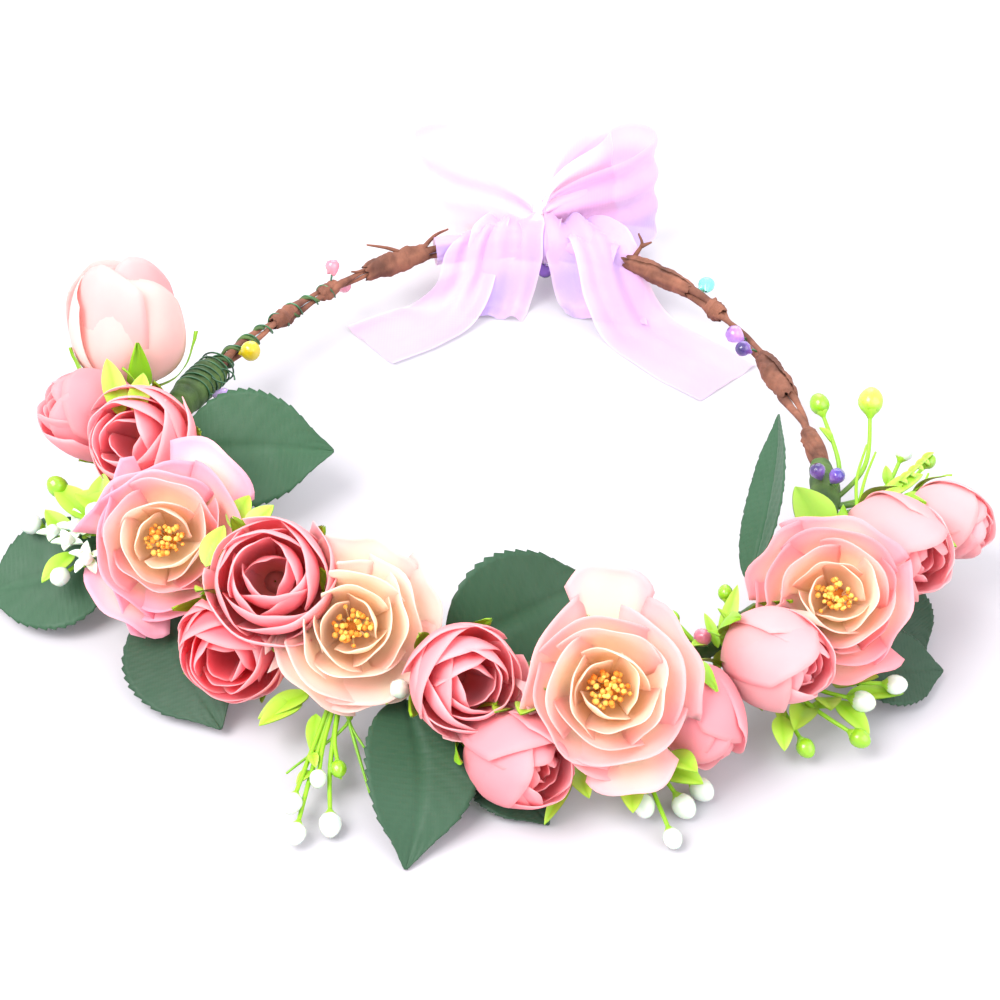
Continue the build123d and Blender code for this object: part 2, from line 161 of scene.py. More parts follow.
# ---- Meshes ------------------------------------------------------------------------------------
class Shape:
    """Grids of points that become one mesh, with a colour at each point."""

    def __init__(self):
        self.points, self.colours, self.faces, self.count = [], [], [], 0

    def grid(self, points, colours, closed=False):
        """Adds a sheet of quads over an n by m grid; closed joins its last column to its first."""
        n, m = points.shape[:2]
        self.points.append(points.reshape(-1, 3))
        self.colours.append(np.broadcast_to(colours, points.shape).reshape(-1, 3))
        index = np.arange(n * m).reshape(n, m) + self.count
        right = np.roll(index, -1, axis=1) if closed else index[:, 1:]
        left = index if closed else index[:, :-1]
        quads = np.stack([left[:-1], right[:-1], right[1:], left[1:]], -1)
        self.faces.append(quads.reshape(-1, 4))
        self.count += n * m

    def tube(self, line, radius, colours, sides=8, squash=1.0):
        """Adds a round rod along a line, with rounded ends; radius may change along it."""
        line = np.asarray(line, float)
        n = len(line)
        radius = np.broadcast_to(np.asarray(radius, float), (n,))
        ahead = unit(np.gradient(line, axis=0))
        side = unit(np.cross(ahead, UP + 0.01))
        top = np.cross(side, ahead)
        turn = np.linspace(0, 2 * pi, sides, endpoint=False)
        cap = 0.6 * radius
        rings = [line[0] - ahead[0] * cap[0] * 0.9, *line, line[-1] + ahead[-1] * cap[-1] * 0.9]
        sizes = np.concatenate([[0.15 * radius[0]], radius, [0.15 * radius[-1]]])
        sides_of = np.vstack([side[:1], side, side[-1:]])
        tops_of = np.vstack([top[:1], top, top[-1:]])
        made = (np.array(rings)[:, None] + sizes[:, None, None] * (
            np.cos(turn)[None, :, None] * sides_of[:, None]
            + squash * np.sin(turn)[None, :, None] * tops_of[:, None]))
        colours = np.asarray(colours, float)
        if colours.ndim == 2:
            colours = np.vstack([colours[:1], colours, colours[-1:]])[:, None]
        self.grid(made, colours, closed=True)

    def lathe(self, origin, axes, profile, colours, sides=16, lobes=0, lobe=0.0):
        """Adds a turned shape: rows of (radius, height) about the third axis."""
        profile = np.asarray(profile, float)
        turn = np.linspace(0, 2 * pi, sides, endpoint=False)
        wave = 1 + lobe * np.cos(lobes * turn)
        radius = profile[:, 0][:, None] * wave
        made = (np.asarray(origin) + radius[..., None] * (
            np.cos(turn)[None, :, None] * axes[0] + np.sin(turn)[None, :, None] * axes[1])
            + profile[:, 1][:, None, None] * axes[2])
        colours = np.asarray(colours, float)
        if colours.ndim == 2:
            colours = colours[:, None]
        self.grid(made, colours, closed=True)

    def make(self, name, material, body="root", slot=None, replaces=(), thick=0.0):
        """Writes the mesh, in metres, puts it on the body it rides on, and hides the parts it stands
        for.
        """
        mesh = bpy.data.meshes.new(name)
        points = np.vstack(self.points) * MM
        faces = np.vstack(self.faces)
        mesh.from_pydata(points.tolist(), [], faces.tolist())
        tint = mesh.color_attributes.new("tint", "FLOAT_COLOR", "POINT")
        rgba = np.ones((len(points), 4))
        rgba[:, :3] = np.clip(np.vstack(self.colours), 0, 1)
        tint.data.foreach_set("color", rgba.ravel())
        mesh.polygons.foreach_set("use_smooth", [True] * len(faces))
        mesh.materials.append(material)
        mesh.update()
        piece = bpy.data.objects.new(name, mesh)
        bpy.context.scene.collection.objects.link(piece)
        if thick:
            solid = piece.modifiers.new("cloth", "SOLIDIFY")
            solid.thickness = thick * MM
            solid.offset = 0
        if body:
            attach(piece, body)
        if replaces:
            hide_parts(*replaces)
        return piece


# ---- Materials ---------------------------------------------------------------------------------
class Look:
    """A material of one shader, with its colour and bump built up from nodes."""

    def __init__(self, name, **settings):
        self.material = bpy.data.materials.new(name)
        self.material.use_nodes = True
        self.tree = self.material.node_tree
        self.shader = self.tree.nodes["Principled BSDF"]
        for key, value in settings.items():
            self.shader.inputs[key.replace("_", " ")].default_value = value
        self.where = self.node("ShaderNodeTexCoord").outputs["Object"]

    def node(self, kind, inputs=None, **settings):
        made = self.tree.nodes.new(kind)
        for key, value in settings.items():
            setattr(made, key, value)
        for key, value in (inputs or {}).items():
            if isinstance(value, bpy.types.NodeSocket):
                self.tree.links.new(value, made.inputs[key])
            else:
                made.inputs[key].default_value = value
        return made

    def tint(self):
        return self.node("ShaderNodeAttribute", attribute_name="tint").outputs["Color"]

    def noise(self, scale, detail=4.0, stretch=(1, 1, 1)):
        spread = self.node("ShaderNodeMapping", {"Vector": self.where, "Scale": stretch})
        return self.node("ShaderNodeTexNoise", {
            "Vector": spread.outputs[0], "Scale": scale, "Detail": detail}).outputs["Fac"]

    def blend(self, share, a, b, way="MIX"):
        made = self.node("ShaderNodeMix", data_type="RGBA", blend_type=way)
        for slot, value in ((0, share), (6, a), (7, b)):
            if isinstance(value, bpy.types.NodeSocket):
                self.tree.links.new(value, made.inputs[slot])
            elif slot == 0:
                made.inputs[slot].default_value = value
            else:
                made.inputs[slot].default_value = (*value, 1)
        return made.outputs[2]

    def ramp(self, value, low, high):
        made = self.node("ShaderNodeMapRange", {"Value": value, "From Min": low, "From Max": high})
        return made.outputs["Result"]

    def colour(self, socket):
        self.tree.links.new(socket, self.shader.inputs["Base Color"])

    def let_through(self, colour, share):
        """Lets that share of the light through to the other side, as thin cloth does."""
        thin = self.node("ShaderNodeBsdfTranslucent", {"Color": colour})
        out = self.tree.nodes["Material Output"]
        both = self.node("ShaderNodeMixShader", {0: share})
        self.tree.links.new(self.shader.outputs[0], both.inputs[1])
        self.tree.links.new(thin.outputs[0], both.inputs[2])
        self.tree.links.new(both.outputs[0], out.inputs["Surface"])

    def rough(self, value, low, high):
        made = self.node("ShaderNodeMapRange", {"Value": value, "To Min": low, "To Max": high})
        self.tree.links.new(made.outputs["Result"], self.shader.inputs["Roughness"])

    def bump(self, height, distance, strength=1.0):
        made = self.node("ShaderNodeBump", {"Height": height, "Distance": distance,
                                            "Strength": strength})
        last = self.shader.inputs["Normal"]
        if last.links:
            self.tree.links.new(last.links[0].from_socket, made.inputs["Normal"])
        self.tree.links.new(made.outputs[0], last)


def weave(look, pitch):
    """Height of a plain weave with that distance between its threads, from two crossed bands."""
    bands = []
    for axis in ("X", "Y"):
        wave = look.node("ShaderNodeTexWave", {
            "Vector": look.where, "Scale": 1 / pitch / 6.4, "Distortion": 0.6},
            bands_direction=axis)
        bands.append(wave.outputs["Fac"])
    return look.node("ShaderNodeMath", {0: bands[0], 1: bands[1]}, operation="ADD").outputs[0]


def petal_cloth():
    look = Look("petal_cloth", Roughness=0.8, Sheen_Weight=0.25, Sheen_Roughness=0.5)
    blotch = look.ramp(look.noise(70, 5), 0.35, 0.75)
    warm = look.blend(blotch, look.tint(), shade(255, 244, 246), "MULTIPLY")
    look.colour(warm)
    look.let_through(warm, 0.6)
    look.bump(weave(look, 0.0003), 0.00002, 0.35)
    look.bump(look.noise(420, 6), 0.00012, 0.5)
    look.rough(look.noise(260), 0.68, 0.9)
    return look.material


def leaf_cloth():
    look = Look("leaf_cloth", Roughness=0.55, Sheen_Weight=0.15, Specular_IOR_Level=0.35)
    patch = look.ramp(look.noise(60, 5), 0.3, 0.75)
    look.colour(look.blend(patch, look.tint(), shade(214, 236, 222), "MULTIPLY"))
    look.bump(weave(look, 0.00035), 0.00002, 0.25)
    look.bump(look.noise(240, 6), 0.00015, 0.4)
    look.rough(look.noise(180), 0.45, 0.7)
    return look.material


def moulded(name, rough, coat=0.0, glow=0.15, grain=500):
    """Moulded plastic in the colours of the mesh."""
    look = Look(name, Roughness=rough, Subsurface_Weight=glow, Subsurface_Scale=0.0012,
                Coat_Weight=coat, Coat_Roughness=0.15)
    patch = look.ramp(look.noise(150, 4), 0.3, 0.8)
    look.colour(look.blend(patch, look.tint(), shade(238, 244, 226), "MULTIPLY"))
    look.bump(look.noise(grain, 3), 0.00008, 0.4)
    look.rough(look.noise(200), rough * 0.8, min(rough * 1.35, 0.95))
    return look.material


def bark_paper():
    look = Look("bark_paper", Roughness=0.82)
    fibre = look.noise(420, 8, (1, 1, 0.25))
    patch = look.ramp(look.noise(130, 5), 0.32, 0.7)
    dark = look.blend(patch, shade(90, 52, 38), shade(146, 92, 70))
    look.colour(look.blend(look.ramp(fibre, 0.3, 0.75), dark, look.tint(), "MULTIPLY"))
    look.bump(fibre, 0.0007, 1.0)
    look.bump(look.noise(1500, 3), 0.0001, 0.5)
    look.rough(fibre, 0.7, 0.95)
    return look.material


def crepe_tape():
    look = Look("crepe_tape", Roughness=0.7)
    crease = look.noise(600, 5)
    patch = look.ramp(look.noise(160, 5), 0.3, 0.7)
    base = look.blend(patch, shade(40, 66, 34), shade(84, 112, 50))
    look.colour(look.blend(look.ramp(crease, 0.3, 0.8), base, look.tint(), "MULTIPLY"))
    look.bump(crease, 0.0003, 0.7)
    look.rough(crease, 0.55, 0.85)
    return look.material


def green_wire():
    look = Look("green_wire", Roughness=0.4, Metallic=0.25, Coat_Weight=0.3)
    look.colour(look.blend(look.ramp(look.noise(300), 0.3, 0.7), shade(28, 70, 44),
                           shade(66, 122, 78)))
    look.bump(look.noise(900, 3), 0.00005, 0.5)
    look.rough(look.noise(500), 0.3, 0.5)
    return look.material


def organza():
    look = Look("organza", Roughness=0.5, Sheen_Weight=0.6, Sheen_Roughness=0.35, Alpha=0.62,
                Specular_IOR_Level=0.4)
    cloud = look.ramp(look.noise(28, 3), 0.35, 0.7)
    look.colour(look.blend(cloud, look.tint(), shade(255, 240, 252), "MULTIPLY"))
    look.bump(weave(look, 0.00045), 0.00004, 0.6)
    look.rough(look.noise(120), 0.4, 0.6)
    return look.material


def steel():
    look = Look("drawn_steel", Metallic=1.0, Roughness=0.35)
    look.colour(look.blend(look.noise(300), shade(150, 152, 156), shade(190, 192, 196)))
    look.bump(look.noise(700, 3), 0.00003, 0.4)
    look.rough(look.noise(400), 0.25, 0.5)
    return look.material


PETAL = petal_cloth()
LEAF = leaf_cloth()
GREEN = moulded("lime_plastic", 0.42, glow=0.25)
PEARL = moulded("pearl_plastic", 0.22, coat=0.5, glow=0.3, grain=250)
PIP = moulded("pip_lacquer", 0.2, coat=0.7, glow=0.1, grain=250)
STAMEN = moulded("stamen_flock", 0.8, glow=0.2, grain=900)
BARK = bark_paper()
CREPE = crepe_tape()
WIRE = green_wire()
ORGANZA = organza()
STEEL = steel()


# ---- Petals ------------------------------------------------------------------------------------
ACROSS, ALONG = 19, 16


def bezier(knots, s):
    """Radius and height on a curve with four control points."""
    p = np.asarray(knots, float)
    a, b, c, d = (1 - s) ** 3, 3 * s * (1 - s) ** 2, 3 * s ** 2 * (1 - s), s ** 3
    return (a * p[0, 0] + b * p[1, 0] + c * p[2, 0] + d * p[3, 0],
            a * p[0, 1] + b * p[1, 1] + c * p[2, 1] + d * p[3, 1])


def petal(rng, knots, turn, half, flat=0.3, rounding=0.3, point=0.0, ruffle=0.03, waves=2.5,
          lip=0.0, spiral=0.05, crease=0.0, jitter=1.0, across=ACROSS, along=ALONG):
    """One petal about the z axis, for a flower of radius 1. Its middle line follows the curve of
    the knots, it spans half degrees to each side of turn, and flat opens it out from round the
    axis. Returns its points and, for its colours, how far across and along each one is."""
    u, v = np.meshgrid(np.linspace(-1, 1, across), np.linspace(0, 1, along))
    off = rng.normal(0, 1, 6) * jitter
    s = v * (1 - rounding * np.abs(u) ** 2.4)
    knots = np.array(knots, float)
    knots[2:] *= 1 + 0.035 * off[0]
    knots[3, 0] += 0.03 * off[1]
    r, z = bezier(knots, s)
    r2, z2 = bezier(knots, np.clip(s + 0.02, 0, 1.02))
    slope = unit(np.stack([r2 - r, z2 - z], -1))
    narrow = 1 - point * v ** 2
    spread = np.radians(half) * u * narrow
    opened = 1 / np.maximum(np.cos(spread), 0.25)
    reach = r * (1 - flat + flat * np.minimum(opened, 2.2))
    phase = off[2] * 3
    wave = np.sin(waves * pi * u + phase) * 0.6 + np.sin(waves * 1.9 * pi * u + off[3] * 3) * 0.4
    push = ruffle * wave * smooth(0.25, 1, v) * (0.35 + 0.65 * np.abs(u) ** 1.5)
    push = push + 0.012 * np.sin(3.1 * u + 4.0 * v + phase) * smooth(0.1, 0.6, v)
    push = push + crease * np.sin(9 * u + phase) * np.sin(pi * v) ** 2
    push = push - lip * smooth(0.72, 1, v) ** 1.5 * (0.7 + 0.3 * np.cos(2.2 * pi * u + phase))
    reach = reach + spiral * u * smooth(0.05, 0.5, v)
    reach = reach - push * slope[..., 1]
    height = z + push * slope[..., 0]
    angle = np.radians(turn + 4 * off[4]) + spread
    points = np.stack([reach * np.cos(angle), reach * np.sin(angle), height], -1)
    return points, u, v


OPEN_RINGS = [
    # knots of the middle line, half width, petals, flat, ruffle, lip
    ([(.08, .06), (.50, -.02), (.80, .24), (.86, .58)], 58, 4, .22, .040, .08),
    ([(.07, .08), (.44, .04), (.68, .36), (.64, .78)], 60, 4, .16, .034, .06),
    ([(.06, .10), (.38, .08), (.54, .46), (.45, .88)], 64, 3, .12, .030, .04),
    ([(.05, .12), (.30, .14), (.40, .46), (.31, .78)], 62, 3, .12, .030, .01),
]
ROUND_RINGS = [
    ([(.12, .00), (1.02, .00), (1.18, .70), (1.00, 1.04)], 66, 3, .02, .020, .06),
    ([(.12, .02), (.98, .02), (1.10, .90), (.86, 1.26)], 64, 3, .03, .020, .045),
    ([(.11, .04), (.90, .05), (.98, 1.06), (.70, 1.42)], 62, 3, .04, .020, .04),
    ([(.10, .06), (.78, .08), (.82, 1.18), (.54, 1.52)], 62, 3, .06, .022, .035),
    ([(.10, .10), (.62, .12), (.64, 1.24), (.40, 1.54)], 62, 3, .10, .022, .03),
    ([(.09, .14), (.46, .18), (.46, 1.16), (.27, 1.46)], 66, 3, .16, .020, .02),
]
BUD_RINGS = [
    ([(.16, .00), (1.14, .05), (1.22, 1.35), (.60, 2.00)], 70, 3, .02, .020, .030),
    ([(.15, .02), (1.06, .08), (1.14, 1.55), (.47, 2.18)], 66, 3, .04, .022, .035),
    ([(.14, .05), (.88, .12), (.92, 1.62), (.34, 2.20)], 60, 3, .15, .024, .030),
    ([(.12, .10), (.68, .20), (.70, 1.60), (.24, 2.12)], 62, 3, .30, .024, .025),
    ([(.10, .15), (.46, .25), (.46, 1.50), (.13, 2.02)], 68, 3, .45, .022, .015),
]


def open_colours(ring, u, v, outer, heart):
    """Honey at the heart, then cream, and pink towards the edges of the outer petals."""
    edge = np.clip(v ** 1.6 * 0.8 + 0.4 * np.abs(u) ** 2 * v, 0, 1)
    body = mixed(CREAM, outer, smooth(0.2, 0.95, edge) * (1.0, 0.75, 0.35, 0.15)[ring])
    return mixed(heart, body, smooth(0.0, (0.30, 0.50, 0.75, 0.95)[ring], v) ** 0.8)


def round_colours(ring, u, v, outer, heart):
    """Coral down in the folds, and a pale rim along each edge."""
    rim = smooth(0.84, 1.0, v) * 0.8 + 0.35 * smooth(0.85, 1.0, np.abs(u)) * v
    body = mixed(heart, outer, smooth(0.15, 0.80 - 0.06 * ring, v))
    return mixed(body, BLUSH, np.clip(rim + 0.12 * (5 - ring) / 5, 0, 1))


def bud_colours(ring, u, v, outer, heart):
    """Pale shells, pinker towards the mouth and deep inside it."""
    body = mixed(outer, PINK, 0.28 * ring + 0 * v)
    body = mixed(body, heart, smooth(0.25, 1.0, 0.17 * ring + 0 * v) * (1 - 0.55 * v))
    return mixed(body, WHITE, 0.30 * smooth(0.9, 1.0, v))


# rings, colours, how high the middle of the flower stands above its base, and how round the
# petals are at their tips, for a flower of radius 1
KINDS = {
    "open": (OPEN_RINGS, open_colours, 0.31, 0.26),
    "round": (ROUND_RINGS, round_colours, 0.85, 0.27),
    "bud": (BUD_RINGS, bud_colours, 1.15, 0.22),
}

# kind, angle round the hoop, out, up, heading and climb of the face, radius, where the stem joins
# the hoop, colour of the outer petals, colour of the heart, and the outermost petals of an open
# rose as (turn, reach), where turn 0 is the rose's right and 90 its top
ROSES = [
    ("bud", 171.3, 10.6, 28, 100, 60, 14.7, 168, WHITE, PEACH, ()),
    ("bud", 188, 12, 19, 190, 32, 11.3, 184, PINK, ROSY, ()),
    ("round", 198.9, -1.1, 23, 252, 42, 13.3, 194, PINK, SALMON, ()),
    ("open", 216.8, 3.0, 15, 272, 44, 19.0, 212, LILAC, PEACH,
     ((56, 1.24), (122, .90), (180, .74), (234, 1.14), (290, .96), (340, 1.04))),
    ("round", 237.6, 2.5, 22, 270, 50, 13.7, 229, PINK, SALMON, ()),
    ("round", 234.4, 12.0, 4, 258, 14, 12.7, 236, DEEP_PINK, CORAL, ()),
    ("open", 249.8, 2.5, 13, 276, 44, 18.0, 250, WHITE, PEACH,
     ((78, 1.12), (150, .95), (218, 1.00), (290, 1.00), (8, 1.10))),
    ("round", 266.9, 12.5, 11, 293, 33, 12.3, 264, PINK, CORAL, ()),
    ("bud", 273.1, 23.5, -2, 305, 18, 11.3, 270, PINK, CORAL, ()),
    ("open", 283.4, 19.0, 14, 268, 45, 18.0, 281, BLUSH, HONEY,
     ((95, 1.46), (165, .86), (226, .92), (288, 1.30), (20, 1.00))),
    ("bud", 294.7, 20.2, 1, 297, -35, 10.0, 290, PINK, ROSY, ()),
    ("bud", 305.1, 19.0, 9, 311, 20, 11.4, 301, BLUSH, PINK, ()),
    ("open", 315.2, 16.9, 15, 260, 47, 17.0, 312, PINK, PEACH,
     ((80, .95), (152, 1.10), (208, 1.04), (276, 1.06), (350, .96))),
    ("bud", 330.3, 20, 10, 300, 15, 12.5, 328, BLUSH, PINK, ()),
    ("bud", 340, 31.5, 6, 322, 10, 9.7, 338, BLUSH, ROSY, ()),
]


# the round roses and buds as eggs, which the petals of open roses and of lower roses pass behind
EGG = {"round": 0.92, "bud": 1.15}
EGGS = [
    (by_hoop(row[1], row[2], row[3]), facing(direction(row[4], row[5])),
     np.array([1.10, 1.10, EGG[row[0]]]) * row[6])
    for row in ROSES if row[0] in EGG
]


def behind_neighbours(points, level):
    """Moves what is inside a neighbour's egg to its far side, if the neighbour is above level."""
    for centre, axes, size in EGGS:
        if centre[2] <= level:
            continue
        q = (points - centre) @ axes.T / size
        aside = q[..., 0] ** 2 + q[..., 1] ** 2
        inside = (aside + q[..., 2] ** 2) < 1
        q[..., 2] = np.where(inside, -np.sqrt(np.maximum(1 - aside, 0)), q[..., 2])
        points = centre + (q * size) @ axes
    return points


def rose_base(row):
    """The middle of a rose's base, and the axes of the way it faces."""
    kind, angle, out, up, heading, climb, radius = row[:7]
    axes = facing(direction(heading, climb))
    return by_hoop(angle, out, up) - axes[2] * KINDS[kind][2] * radius, axes


def rose_petals(number, row):
    """All the petals of a rose, ring by ring."""
    kind, up, radius, outer, heart, outermost = row[0], row[3], row[6], *row[8:]
    rings, paint, _, rounding = KINDS[kind]
    rng = np.random.default_rng(100 + number)
    origin, axes = rose_base(row)
    shape = Shape()

    def add(ring, knots, turn, half, **how):
        points, u, v = petal(rng, knots, turn, half, **how)
        colours = paint(ring, u, v, outer, heart) * (1 + 0.04 * rng.normal())
        places = origin + radius * points @ axes
        shape.grid(behind_neighbours(places, TABLE if kind == "open" else up), colours)

    for turn, reach in outermost:
        knots = [(.09, .03), (.50, -.06), (.88 * reach, .10), (reach, .46)]
        add(0, knots, turn, 45 / reach ** 1.6, flat=.60, rounding=.24, ruffle=.055, waves=1.4, lip=.10,
            spiral=.04)
    start = rng.uniform(0, 360)
    for ring, (knots, half, petals, flat, ruffle, lip) in enumerate(rings):
        for count in range(petals):
            turn = start + 360 * count / petals + 6 * rng.normal()
            add(ring, knots, turn, half, flat=flat, rounding=rounding, ruffle=ruffle, lip=lip,
                waves=1.4 if kind == "open" else 1.8,
                crease=.012 if kind == "bud" and ring < 2 else 0.0)
        start += 180 / petals + 11
    if kind != "open":
        # a floor deep in the middle, in the heart's colour darkened to 0.7: painted shade down inside
        # the flower
        floor = np.array([(.02, .30), (.12, .27), (.22, .16), (.24, .04)]) * radius
        shape.lathe(origin, axes, floor, heart * 0.7, sides=12)
    shape.make(f"rose_{number:02d}_bloom", PETAL, slot="rose_petal", thick=CLOTH,
               replaces=[f"rose_{number:02d}_petals"])


SEPALS = {
    # knots of a sepal in flower radii, and half its width at the base in degrees
    "open": ([(.10, -.05), (.32, -.10), (.55, .00), (.86, .26)], 20),
    "round": ([(.12, -.06), (.80, -.12), (1.10, .22), (1.16, .72)], 17),
    "bud": ([(.14, -.06), (.85, -.10), (1.08, .30), (1.14, .86)], 19),
}


def rose_calyx(number, row):
    """The lime cup and sepals behind a rose, and its stem to the hoop."""
    radius, root = row[6:8]
    rng = np.random.default_rng(300 + number)
    origin, axes = rose_base(row)
    shape = Shape()
    knots, half = SEPALS[row[0]]
    start = rng.uniform(0, 72)
    for count in range(5):
        points, u, v = petal(rng, knots, start + 72 * count, half, flat=0.9, rounding=0.0, point=0.93,
                             ruffle=0.02, lip=0.10, spiral=0.0, jitter=0.8, across=9, along=12)
        points[..., 2] -= 0.045 * (1 - np.abs(u)) * (1 - v)
        colours = mixed(PALE_LIME, LIME, smooth(0.1, 0.6, v)) * (1 - 0.12 * (1 - np.abs(u))[..., None])
        shape.grid(origin + radius * points @ axes, colours)
    cup = [(.02, -4.6), (1.1, -4.4), (1.5, -3.2), (2.6, -1.6), (3.4, -.5), (3.6, .3), (2.6, .8),
           (.05, .9)]
    shades = mixed(STEM_GREEN, LIME, np.linspace(0, 1, len(cup)))
    shape.lathe(origin, axes, cup, shades, lobes=5, lobe=0.05)
    neck, knee, foot = origin - axes[2] * 3.2, origin - axes[2] * 8.5, by_hoop(root)
    line = along_curve([neck, knee, knee * 0.4 + foot * 0.6, foot], 18)
    shape.tube(line, 0.85, mixed(STEM_GREEN, MOSS, np.linspace(0, 1, 18)), sides=8)
    shape.make(f"rose_{number:02d}_sepals", GREEN, slot="rose_calyx",
               replaces=[f"rose_{number:02d}_calyx"])


def stamen_tuft(shape, number, row):
    """A tuft of curved filaments with a grain of pollen on each."""
    radius = row[6]
    rng = np.random.default_rng(500 + number)
    origin, axes = rose_base(row)
    for _ in range(FILAMENTS):
        turn, lean = rng.uniform(0, 2 * pi), np.sqrt(rng.uniform(0.02, 1))
        side = cos(turn) * axes[0] + sin(turn) * axes[1]
        foot = origin + side * 0.08 * radius * lean + axes[2] * 0.16 * radius
        tip = origin + side * 0.24 * radius * lean + axes[2] * radius * (0.58 - 0.12 * lean ** 2)
        tip = tip + rng.normal(0, 0.35, 3)
        bow = (foot + tip) / 2 + side * 0.5
        shape.tube(along_curve([foot, bow, tip], 5), 0.2, PEACH, sides=5)
        grain = facing(unit(tip - foot) + rng.normal(0, 0.3, 3))
        size = rng.uniform(0.5, 0.85)
        profile = [(0.02, -.9), (.6, -.6), (.95, 0), (.6, .6), (.02, .9)]
        tone = mixed(shade(236, 130, 28), shade(255, 214, 110), rng.uniform(0, 1))
        shape.lathe(tip, grain, np.array(profile) * size, tone, sides=7)
    button = [(0.02, .1), (2.2, .3), (2.6, 1.6), (1.6, 2.6), (.02, 3.0)]
    shape.lathe(origin + axes[2] * 0.12 * radius, axes, button, shade(228, 140, 50), sides=14, lobes=7,
                lobe=0.08)


for number, row in enumerate(ROSES, start=1):
    rose_petals(number, row)
    rose_calyx(number, row)
tufts = Shape()
for number, row in enumerate(ROSES, start=1):
    if row[0] == "open":
        stamen_tuft(tufts, number, row)
tufts.make("stamen_tufts", STAMEN, slot="stamen", replaces=["stamens"])


# ---- Leaves ------------------------------------------------------------------------------------
# base and tip, each as angle, out and up; heading and climb of the upper side; width; where the
# stem joins the hoop; how far the middle arches up, how far it bows sideways, and how far the
# sides lift; and how much painted light it gets, low for leaves in the shade of the roses
LEAVES = [
    ((184, -7, 0), (190.5, -50.5, 2), (270, 50), 33, 186, 3.0, 0.0, 1.5, 0.9),
    ((206.5, 10, -2.5), (201, 44, -11.5), (262, 60), 30, 207, 2.0, 0.0, 1.0, 0.75),
    ((216, 7, -4), (236, 22, -13), (262, 56), 30, 220, 1.5, 0.0, 1.0, 0.45),
    ((258, 8, -2), (262, 46, -15.3), (280, 58), 26, 257, 2.5, 4.0, 1.5, 0.55),
    ((263, -5, 2), (291, -25, 7), (275, 38), 33, 268, 3.0, 0.0, 2.0, 0.6),
    ((316, -8, 3), (341.6, -15, 26.5), (205, 18), 15, 314, 1.0, -4.0, 2.0, 0.85),
    ((330, 16, -5), (327, 33, -14.5), (300, 50), 20, 329, 1.5, 0.0, 1.0, 0.4),
    ((316, 22, -6), (325.5, 39, -13), (290, 62), 20, 318, 1.5, 0.0, 1.0, 0.4),
    ((268, 12, -8), (276, 32, -14.8), (280, 60), 20, 266, 1.0, 0.0, 1.0, 0.3),
]
TEETH = 15
# the painted shade and painted light that the one leaf cloth is mixed between
SHADED_LEAF = shade(16, 42, 28)
LIT_LEAF = shade(46, 86, 58)


def leaf(number, row):
    """A toothed, veined leaf blade and its stalk to the hoop."""
    base, tip, face, width, root, arch, bow, lift, light = row
    start, end = by_hoop(*base), by_hoop(*tip)
    length = np.linalg.norm(end - start)
    ahead = (end - start) / length
    across = unit(np.cross(direction(*face), ahead))
    normal = np.cross(ahead, across)
    u, t = np.meshgrid(np.linspace(-1, 1, 19), np.linspace(0, 1, 91))
    outline = np.sin(pi * t ** 0.82) ** 0.78 * (1 - 0.38 * smooth(0.72, 1, t)) + 0.02
    tooth = 1 - 0.055 * ((t * TEETH) % 1.0) * np.abs(u) ** 6 * smooth(0.06, 0.2, t)
    side = 0.5 * width * outline * tooth * u
    vein = np.abs(((t - 0.30 * np.abs(u) + 0.02) * 9) % 1.0 - 0.5) * 2
    rib = np.exp(-(u / 0.06) ** 2)
    height = (arch * np.sin(pi * t) + lift * np.abs(u) ** 1.5 * outline
              - 0.20 * smooth(0.75, 1.0, vein) * (1 - rib) * smooth(0, 0.2, outline)
              - 0.85 * rib * (1 - t * 0.7)
              + 0.35 * np.sin(5 * t + 2 * u + number) * outline)
    points = (start + (length * t)[..., None] * ahead + height[..., None] * normal
              + (side + bow * np.sin(pi * t))[..., None] * across)
    points[..., 2] = np.maximum(points[..., 2], TABLE + 0.5)
    # painted light and shade: the cloth is mixed from its shaded to its lit colour by how much light
    # falls on the leaf
    tone = mixed(SHADED_LEAF, LIT_LEAF, np.full(t.shape, light))
    tone = tone * (1 + 0.10 * rib - 0.07 * smooth(0.8, 1.0, vein))[..., None]
    shape = Shape()
    shape.grid(points, tone)
    shape.make(f"leaf_{number:02d}_blade", LEAF, slot="leaf", thick=LEAF_CLOTH,
               replaces=[f"leaf_{number:02d}"])
    stalk = Shape()
    middle = points[::6, 9] - normal * 0.55
    stalk.tube(middle[:13], np.linspace(0.5, 0.12, 13), mixed(MOSS, STEM_GREEN, 0.3), sides=6)
    stalk.tube(along_curve([middle[0], (middle[0] + by_hoop(root)) / 2, by_hoop(root)], 8), 0.6,
               MOSS, sides=8)
    stalk.make(f"leaf_{number:02d}_stalk", GREEN, slot="leaf")


for number, row in enumerate(LEAVES, start=1):
    leaf(number, row)


